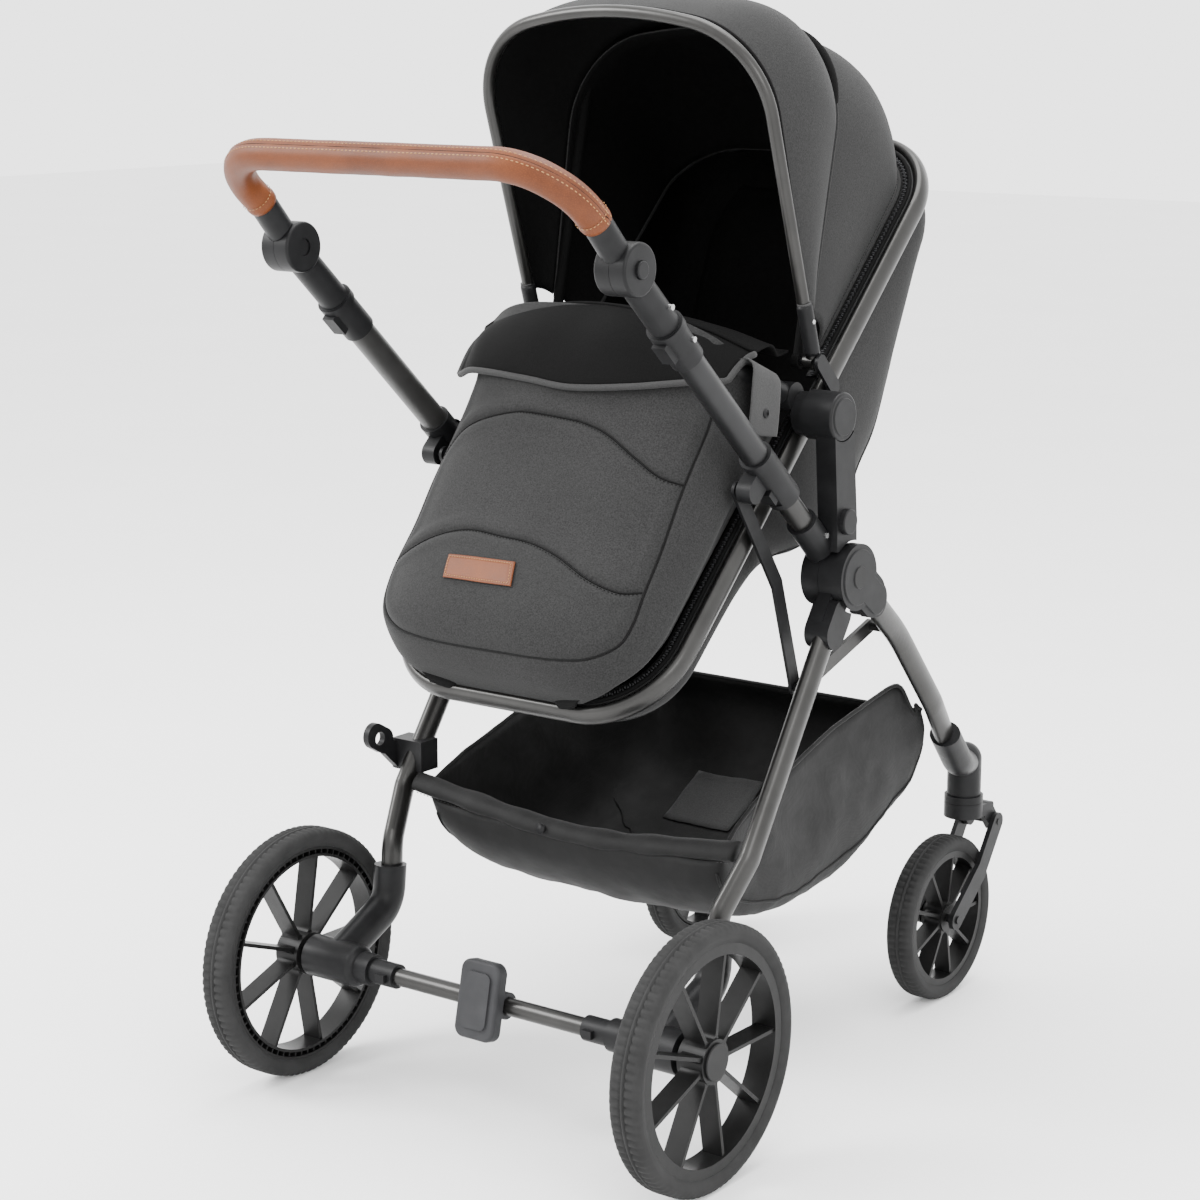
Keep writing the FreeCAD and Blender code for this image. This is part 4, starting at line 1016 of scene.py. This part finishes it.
def basket_rows():
    """Basket as rows across it, from the padded hem to the far rim."""
    section = even_section(6.5, 0.6, 73)
    profile = spread(curve([Vector((0, y, z)) for y, z in BASKET_PROFILE], 8), 64)
    rows = []
    for i, low in enumerate(profile):
        share = i / (len(profile) - 1)
        top_y = lerp(BASKET_TOP_BACK[0], BASKET_TOP_FRONT[0], smooth(share) * 0.5 + share * 0.5)
        top_y = lerp(top_y, low.y, 0.55 * smooth((share - 0.55) / 0.45))
        top_z = lerp(BASKET_TOP_BACK[1], BASKET_TOP_FRONT[1], min(1, share * 1.25))
        top_z = lerp(top_z, low.z + 12, smooth((share - 0.82) / 0.18) * 0.9)
        half = lerp(206, 196, math.sin(math.pi * share))
        end = min(1, 6 * share, 6 * (1 - share))
        row = []
        for across, down in section:
            x = half * across
            y = lerp(top_y, low.y, down ** 1.3)
            z = lerp(top_z, low.z, down)
            sag = 5.0 * math.cos(math.pi * x / 2 / half) * math.sin(math.pi * share)
            p = Vector((x, y, z - sag * down))
            crease = 3.0 * wrinkle(p, 55, 11.3) + 1.6 * wrinkle(p, 22, 4.7)
            p += Vector((math.copysign(1, x) * abs(across) ** 4, 0, -down)) * crease * end
            row.append(p)
        rows.append(row)
    return rows


def build_basket():
    rows = basket_rows()
    bag = cloth_shell("basket_cloth", rows, 2.0, NYLON, NYLON, flip_sides=True)
    place(bag, "front_frame", "black_fabric", "basket")
    seams = []
    for column in (60, 12):
        line = [row[column] + Vector((0, 0, -0.6)) for row in rows[2:-1]]
        seams.append(tube("basket_edge", resample(line, 8), 1.7, NYLON, sides=8))
    for column in (0, 72):
        line = [row[column] for row in rows]
        seams.append(tube("basket_rim", resample(line, 8), 2.4, NYLON, sides=8))
    seams.append(tube("basket_rim_front", resample(rows[-1], 8), 2.4, NYLON, sides=8))
    place(merge("basket_binding", seams), "front_frame", "black_fabric")

    hem = rounded([Vector((-222, 143, 322)), Vector((0, 150, 292)), Vector((222, 146, 318))], [0, 700, 0], 1)
    path = resample(hem, 6)
    floor = []
    for share_in, share_out in ((0.18, 0.62), (0.46, 0.46)):
        line = []
        for k in range(41):
            i = int(lerp(share_in, share_out, k / 40) * (len(rows) - 1))
            line.append(rows[i][int(lerp(14, 58, k / 40))] + Vector((0, 0, 2.6)))
        floor.append(tube("basket_floor_seam", resample(line, 8), 1.4, NYLON, sides=8))
    place(merge("basket_floor_seams", floor), "front_frame", "black_fabric")
    label = [[p + Vector((0, -2.4, 3.6)) for p in row[38:51]] for row in rows[40:50]]
    patch = cloth_shell("basket_label", label, 0.8, STRAP_CLOTH, STRAP_CLOTH)
    place(patch, "front_frame", "black_fabric")
    padded_hem = tube("basket_hem_pad", path, lambda t: 12.5 + 1.2 * math.sin(t * 40) * math.sin(t * 7),
                      NYLON, up=Vector((0, -0.5, 0.8)), flat=0.72)
    place(padded_hem, "front_frame", "black_fabric", "basket_hem")
    lower = [p + Vector((0, -3.2, -12.5)) for p in path]
    snap = path[int(len(path) * 0.42)] + Vector((0, -12.6, 1))
    stud = tube("basket_snap", [snap, snap + Vector((0, -1.6, 0.4))], 6.0, BLACK_PLASTIC, sides=20)
    place(stud, "front_frame", "black_plastic")
    place(stitches("basket_hem_stitches", lower, 3.0, 2.0, 0.5, GREY_THREAD), "front_frame", "black_fabric")


# ---- handlebar leather -------------------------------------------------------------------
BAR = (-166.5, 1056.0)
BAR_END = (-97.0, 1000.0)
BAR_X = 217.0
GRIP_R = 16.3


def build_grip():
    corners = [Vector((-BAR_X, *BAR_END)), Vector((-BAR_X, *BAR)), Vector((BAR_X, *BAR)),
               Vector((BAR_X, *BAR_END))]
    path = resample(rounded(corners, [0, 70, 70, 0], 5), 3)
    arm = (corners[1] - corners[0]).normalized()
    lift = Vector((1, 0, 0)).cross(arm).normalized()
    if lift.z < 0:
        lift = -lift
    count = len(path)
    total = count * 3.0

    def radius(t):
        at = min(t, 1 - t) * total
        hem = 0.9 * math.exp(-((at - 5) / 2.4) ** 2) - 0.7 * math.exp(-((at - 10) / 1.6) ** 2)
        return GRIP_R + hem

    points = []
    sides = 48
    seam_angle = math.radians(5)
    seam_lines = [[], [], []]
    for i, (t, side, up) in enumerate(frames(path, lift)):
        r = radius(i / (count - 1))
        for k in range(sides):
            a = 2 * math.pi * k / sides
            away = abs((a - seam_angle + math.pi) % (2 * math.pi) - math.pi)
            dip = 0.9 * math.exp(-(away * GRIP_R / 1.1) ** 2)
            puff = 0.45 * math.exp(-((away * GRIP_R - 2.6) / 1.6) ** 2)
            bumps = 0.35 * wrinkle(path[i] + side * math.cos(a) * 20 + up * math.sin(a) * 20, 26, 6.6)
            rr = r - dip + puff + bumps
            points.append(path[i] + side * math.cos(a) * rr + up * math.sin(a) * rr)
        for line, shift in zip(seam_lines, (-4.4, 0.0, 4.4)):
            a = seam_angle + shift / GRIP_R
            lifted = r + (0.15 if shift else -0.6)
            line.append(path[i] + side * math.cos(a) * lifted + up * math.sin(a) * lifted)
    grip = fix_normals(make_mesh("handle_leather", points, loft_faces(count, sides), LEATHER))
    place(grip, "handlebar", "leather", "handle_grip")
    rows = [stitches("handle_stitches", seam_lines[0], 3.4, 1.8, 0.55, TAN_THREAD),
            stitches("handle_stitches_b", seam_lines[2], 3.4, 1.8, 0.55, TAN_THREAD)]
    for at in (4, count - 5):
        t, side, up = frames(path, lift)[at]
        ring = [path[at] + (side * math.cos(a) + up * math.sin(a)) * (GRIP_R + 0.9)
                for a in (2 * math.pi * k / 40 for k in range(41))]
        rows.append(stitches("handle_hem", ring, 2.6, 1.6, 0.5, TAN_THREAD))
    place(merge("handle_stitching", rows), "handlebar", "leather")
    place(tube("handle_seam", resample(seam_lines[1], 6), 0.5, BLACK_THREAD, sides=6), "handlebar", "leather")


# ---- hub covers --------------------------------------------------------------------------
def plate_between(name, a, b, r, x0, x1, material):
    """Rounded plate from x0 to x1 around the line between two (y, z) places."""
    along = Vector((0, b[0] - a[0], b[1] - a[1])).normalized()
    across = Vector((0, -along.z, along.y))
    outline = []
    for k in range(25):
        turn = math.pi * k / 24
        outline.append(Vector((0, *a)) - along * math.sin(turn) * r + across * math.cos(turn) * r)
    for k in range(25):
        turn = math.pi * k / 24
        outline.append(Vector((0, *b)) + along * math.sin(turn) * r - across * math.cos(turn) * r)
    centre = sum(outline, Vector()) / len(outline)
    points = []
    low, high = sorted((x0, x1), key=abs)
    edge = math.copysign(1.0, high)
    for x, share in ((low, 1.0), (high - edge, 1.0), (high, 1 - 1.0 / r)):
        points += [Vector((x, 0, 0)) + centre.lerp(p, share) for p in outline]
    faces = loft_faces(3, len(outline))
    return fix_normals(make_mesh(name, points, faces, material, smooth_faces=False))


def disc(name, centre, r, x0, x1, material):
    """Round cap from x0 to x1."""
    return plate_between(name, centre, (centre[0] + 0.1, centre[1]), r, x0, x1, material)


def build_hub_covers():
    """Caps on the main hubs, the plates over the front legs' sockets and the upper hubs' caps."""
    for side, sign in (("left", -1), ("right", 1)):
        nose = plate_between("hub_nose", (352, 574), (372, 559), 17.5, sign * 252.5, sign * 255.4,
                             BLACK_PLASTIC)
        cap = disc("hub_cap", HUB, 31.5, sign * 253, sign * 256.4, BLACK_PLASTIC)
        button = disc("hub_button", HUB, 13, sign * 255, sign * 257.6, WHEEL_PLASTIC)
        place(merge("hub_cap_" + side, [nose, cap, button]), "front_frame", "black_plastic")
        rim = disc("upper_hub_cap_" + side, UPPER_HUB, 21, sign * 243, sign * 246.2, BLACK_PLASTIC)
        place(rim, "push_frame", "black_plastic")


# ---- wheels ------------------------------------------------------------------------------
# Depth of the gaps between blocks, on the tread and on its shoulder, and of the grooves beside the rib.
BLOCK = 2.8
HALF_BLOCK = 1.4
GROOVE = 2.4


def tread_tyre(name, centre, x0, width, outer, inner, sign, pitches):
    """Tyre with small blocks across the tread and a raised rib along its middle."""
    y0, z0 = centre
    steps = pitches * 3
    shoulder = width * 0.24
    profile = [(width * 0.1, inner, 0.0), (width * 0.04, inner + (outer - inner) * 0.3, 0.0),
               (0.0, inner + (outer - inner) * 0.5, 0.0)]
    for k in range(4):
        a = math.radians(90 * k / 4)
        x, r = shoulder * (1 - math.cos(a)), outer - shoulder * (1 - math.sin(a))
        profile.append((x, r, HALF_BLOCK if k > 1 else 0.0))
    for share, cut in ((0.26, BLOCK), (0.33, BLOCK), (0.40, BLOCK), (0.45, GROOVE), (0.47, 0.0)):
        profile.append((width * share, outer, cut))
    profile += [(width - x, r, cut) for x, r, cut in reversed(profile)]
    points = []
    n = len(profile)
    for i in range(steps):
        a = 2 * math.pi * i / steps
        radial = Vector((0, math.cos(a), math.sin(a)))
        for k, (x, r, cut) in enumerate(profile):
            between = (i + (1 if k > n / 2 else 0)) % 3 == 0
            depth = cut if cut == GROOVE or between else 0.0
            points.append(Vector((sign * (x0 + x), y0, z0)) + radial * (r - depth))
    faces = grid_faces(steps, n, True, True)
    return fix_normals(make_mesh(name, points, faces, RUBBER))


def ring_ribs(name, centre, x0, x1, inner, outer, count, sign, material):
    """Small radial webs inside a rim's groove."""
    y0, z0 = centre
    points = []
    faces = []
    for k in range(count):
        a = 2 * math.pi * (k + 0.5) / count
        radial = Vector((0, math.cos(a), math.sin(a)))
        across = Vector((0, -math.sin(a), math.cos(a))) * 0.9
        base = len(points)
        for r in (inner, outer):
            for x in (x0, x1):
                for side in (-1, 1):
                    points.append(Vector((sign * x, y0, z0)) + radial * r + across * side)
        for f in ((0, 1, 3, 2), (4, 6, 7, 5), (0, 4, 5, 1), (2, 3, 7, 6), (0, 2, 6, 4), (1, 5, 7, 3)):
            faces.append(tuple(base + v for v in f))
    return fix_normals(make_mesh(name, points, faces, material, smooth_faces=False))


def build_wheels():
    for side, sign in (("left", -1), ("right", 1)):
        tyre = tread_tyre("rear_tyre_tread_" + side, REAR_AXLE, 262, 38, 143.5, 123.6, sign, 96)
        place(tyre, "rear_wheel_" + side, "tyre", "rear_tyre_" + side)
        ribs = ring_ribs("rear_rim_ribs_" + side, REAR_AXLE, 267.5, 288, 114.8, 120.6, 72, sign,
                         WHEEL_PLASTIC)
        place(ribs, "rear_wheel_" + side, "wheel_plastic")
        small = tread_tyre("caster_tyre_tread_" + side, CASTER_AXLE, CASTER_X - 17, 34, 102, 84, sign, 72)
        place(small, "caster_wheel_" + side, "tyre", "caster_tyre_" + side)


# ---- stage -------------------------------------------------------------------------------
STUDIO_LIGHT = 3.0
# The photo's viewpoint, in metres of the row frame, and its angles in degrees.
CAMERA_AT = (1.8088, -2.5065, 1.1982)
CAMERA_DOWN = 12.01
CAMERA_ROUND = 36.795
LENS_MM = 83.33
SENSOR_MM = 36.0


def build_stage():
    size = 14.0  # far enough out to pass behind everything in view
    floor = bpy.data.meshes.new("floor")
    corners = [(-size, -size, 0), (size, -size, 0), (size, size, 0), (-size, size, 0)]
    floor.from_pydata(corners, [], [(0, 1, 2, 3)])
    obj = bpy.data.objects.new("floor", floor)
    bpy.context.scene.collection.objects.link(obj)
    s = Shader("floor_white", specular=0.2)
    s.colour(s.ramp(s.noise(2, 2), [(0.3, grey(0.86)), (0.7, grey(0.88))]))
    s.roughness(s.noise(3, 2), 0.85, 0.95)
    floor.materials.append(s.mat)

    world = bpy.data.worlds.new("studio")
    world.use_nodes = True
    background = world.node_tree.nodes["Background"]
    background.inputs["Color"].default_value = (1.0, 1.0, 1.0, 1.0)
    background.inputs["Strength"].default_value = STUDIO_LIGHT
    bpy.context.scene.world = world

    def area(name, location, target, width, power):
        light = bpy.data.lights.new(name, "AREA")
        light.shape = "RECTANGLE"
        light.size = light.size_y = width
        light.energy = power
        lamp = bpy.data.objects.new(name, light)
        lamp.location = location
        lamp.rotation_euler = (Vector(target) - Vector(location)).to_track_quat("-Z", "Y").to_euler()
        bpy.context.scene.collection.objects.link(lamp)

    area("key", (-2.4, -2.2, 2.8), (0, 0, 0.6), 1.6, 190)
    area("fill", (2.8, -1.4, 1.9), (0, 0, 0.6), 1.4, 40)
    area("top", (0.2, 0.4, 3.4), (0, 0, 0.4), 2.0, 110)


def build_camera():
    data = bpy.data.cameras.new("camera")
    data.lens = LENS_MM
    data.sensor_width = SENSOR_MM
    camera = bpy.data.objects.new("camera", data)
    camera.location = CAMERA_AT
    camera.rotation_euler = (math.radians(90 - CAMERA_DOWN), 0.0, math.radians(CAMERA_ROUND))
    bpy.context.scene.collection.objects.link(camera)
    bpy.context.scene.camera = camera


build_hood()
build_tub()
build_zip("foot")
build_zip("head")
build_apron()
build_strap()
build_hood_feet()
build_flap()
build_basket()
build_grip()
build_hub_covers()
build_wheels()
build_stage()
build_camera()

bpy.context.view_layer.update()
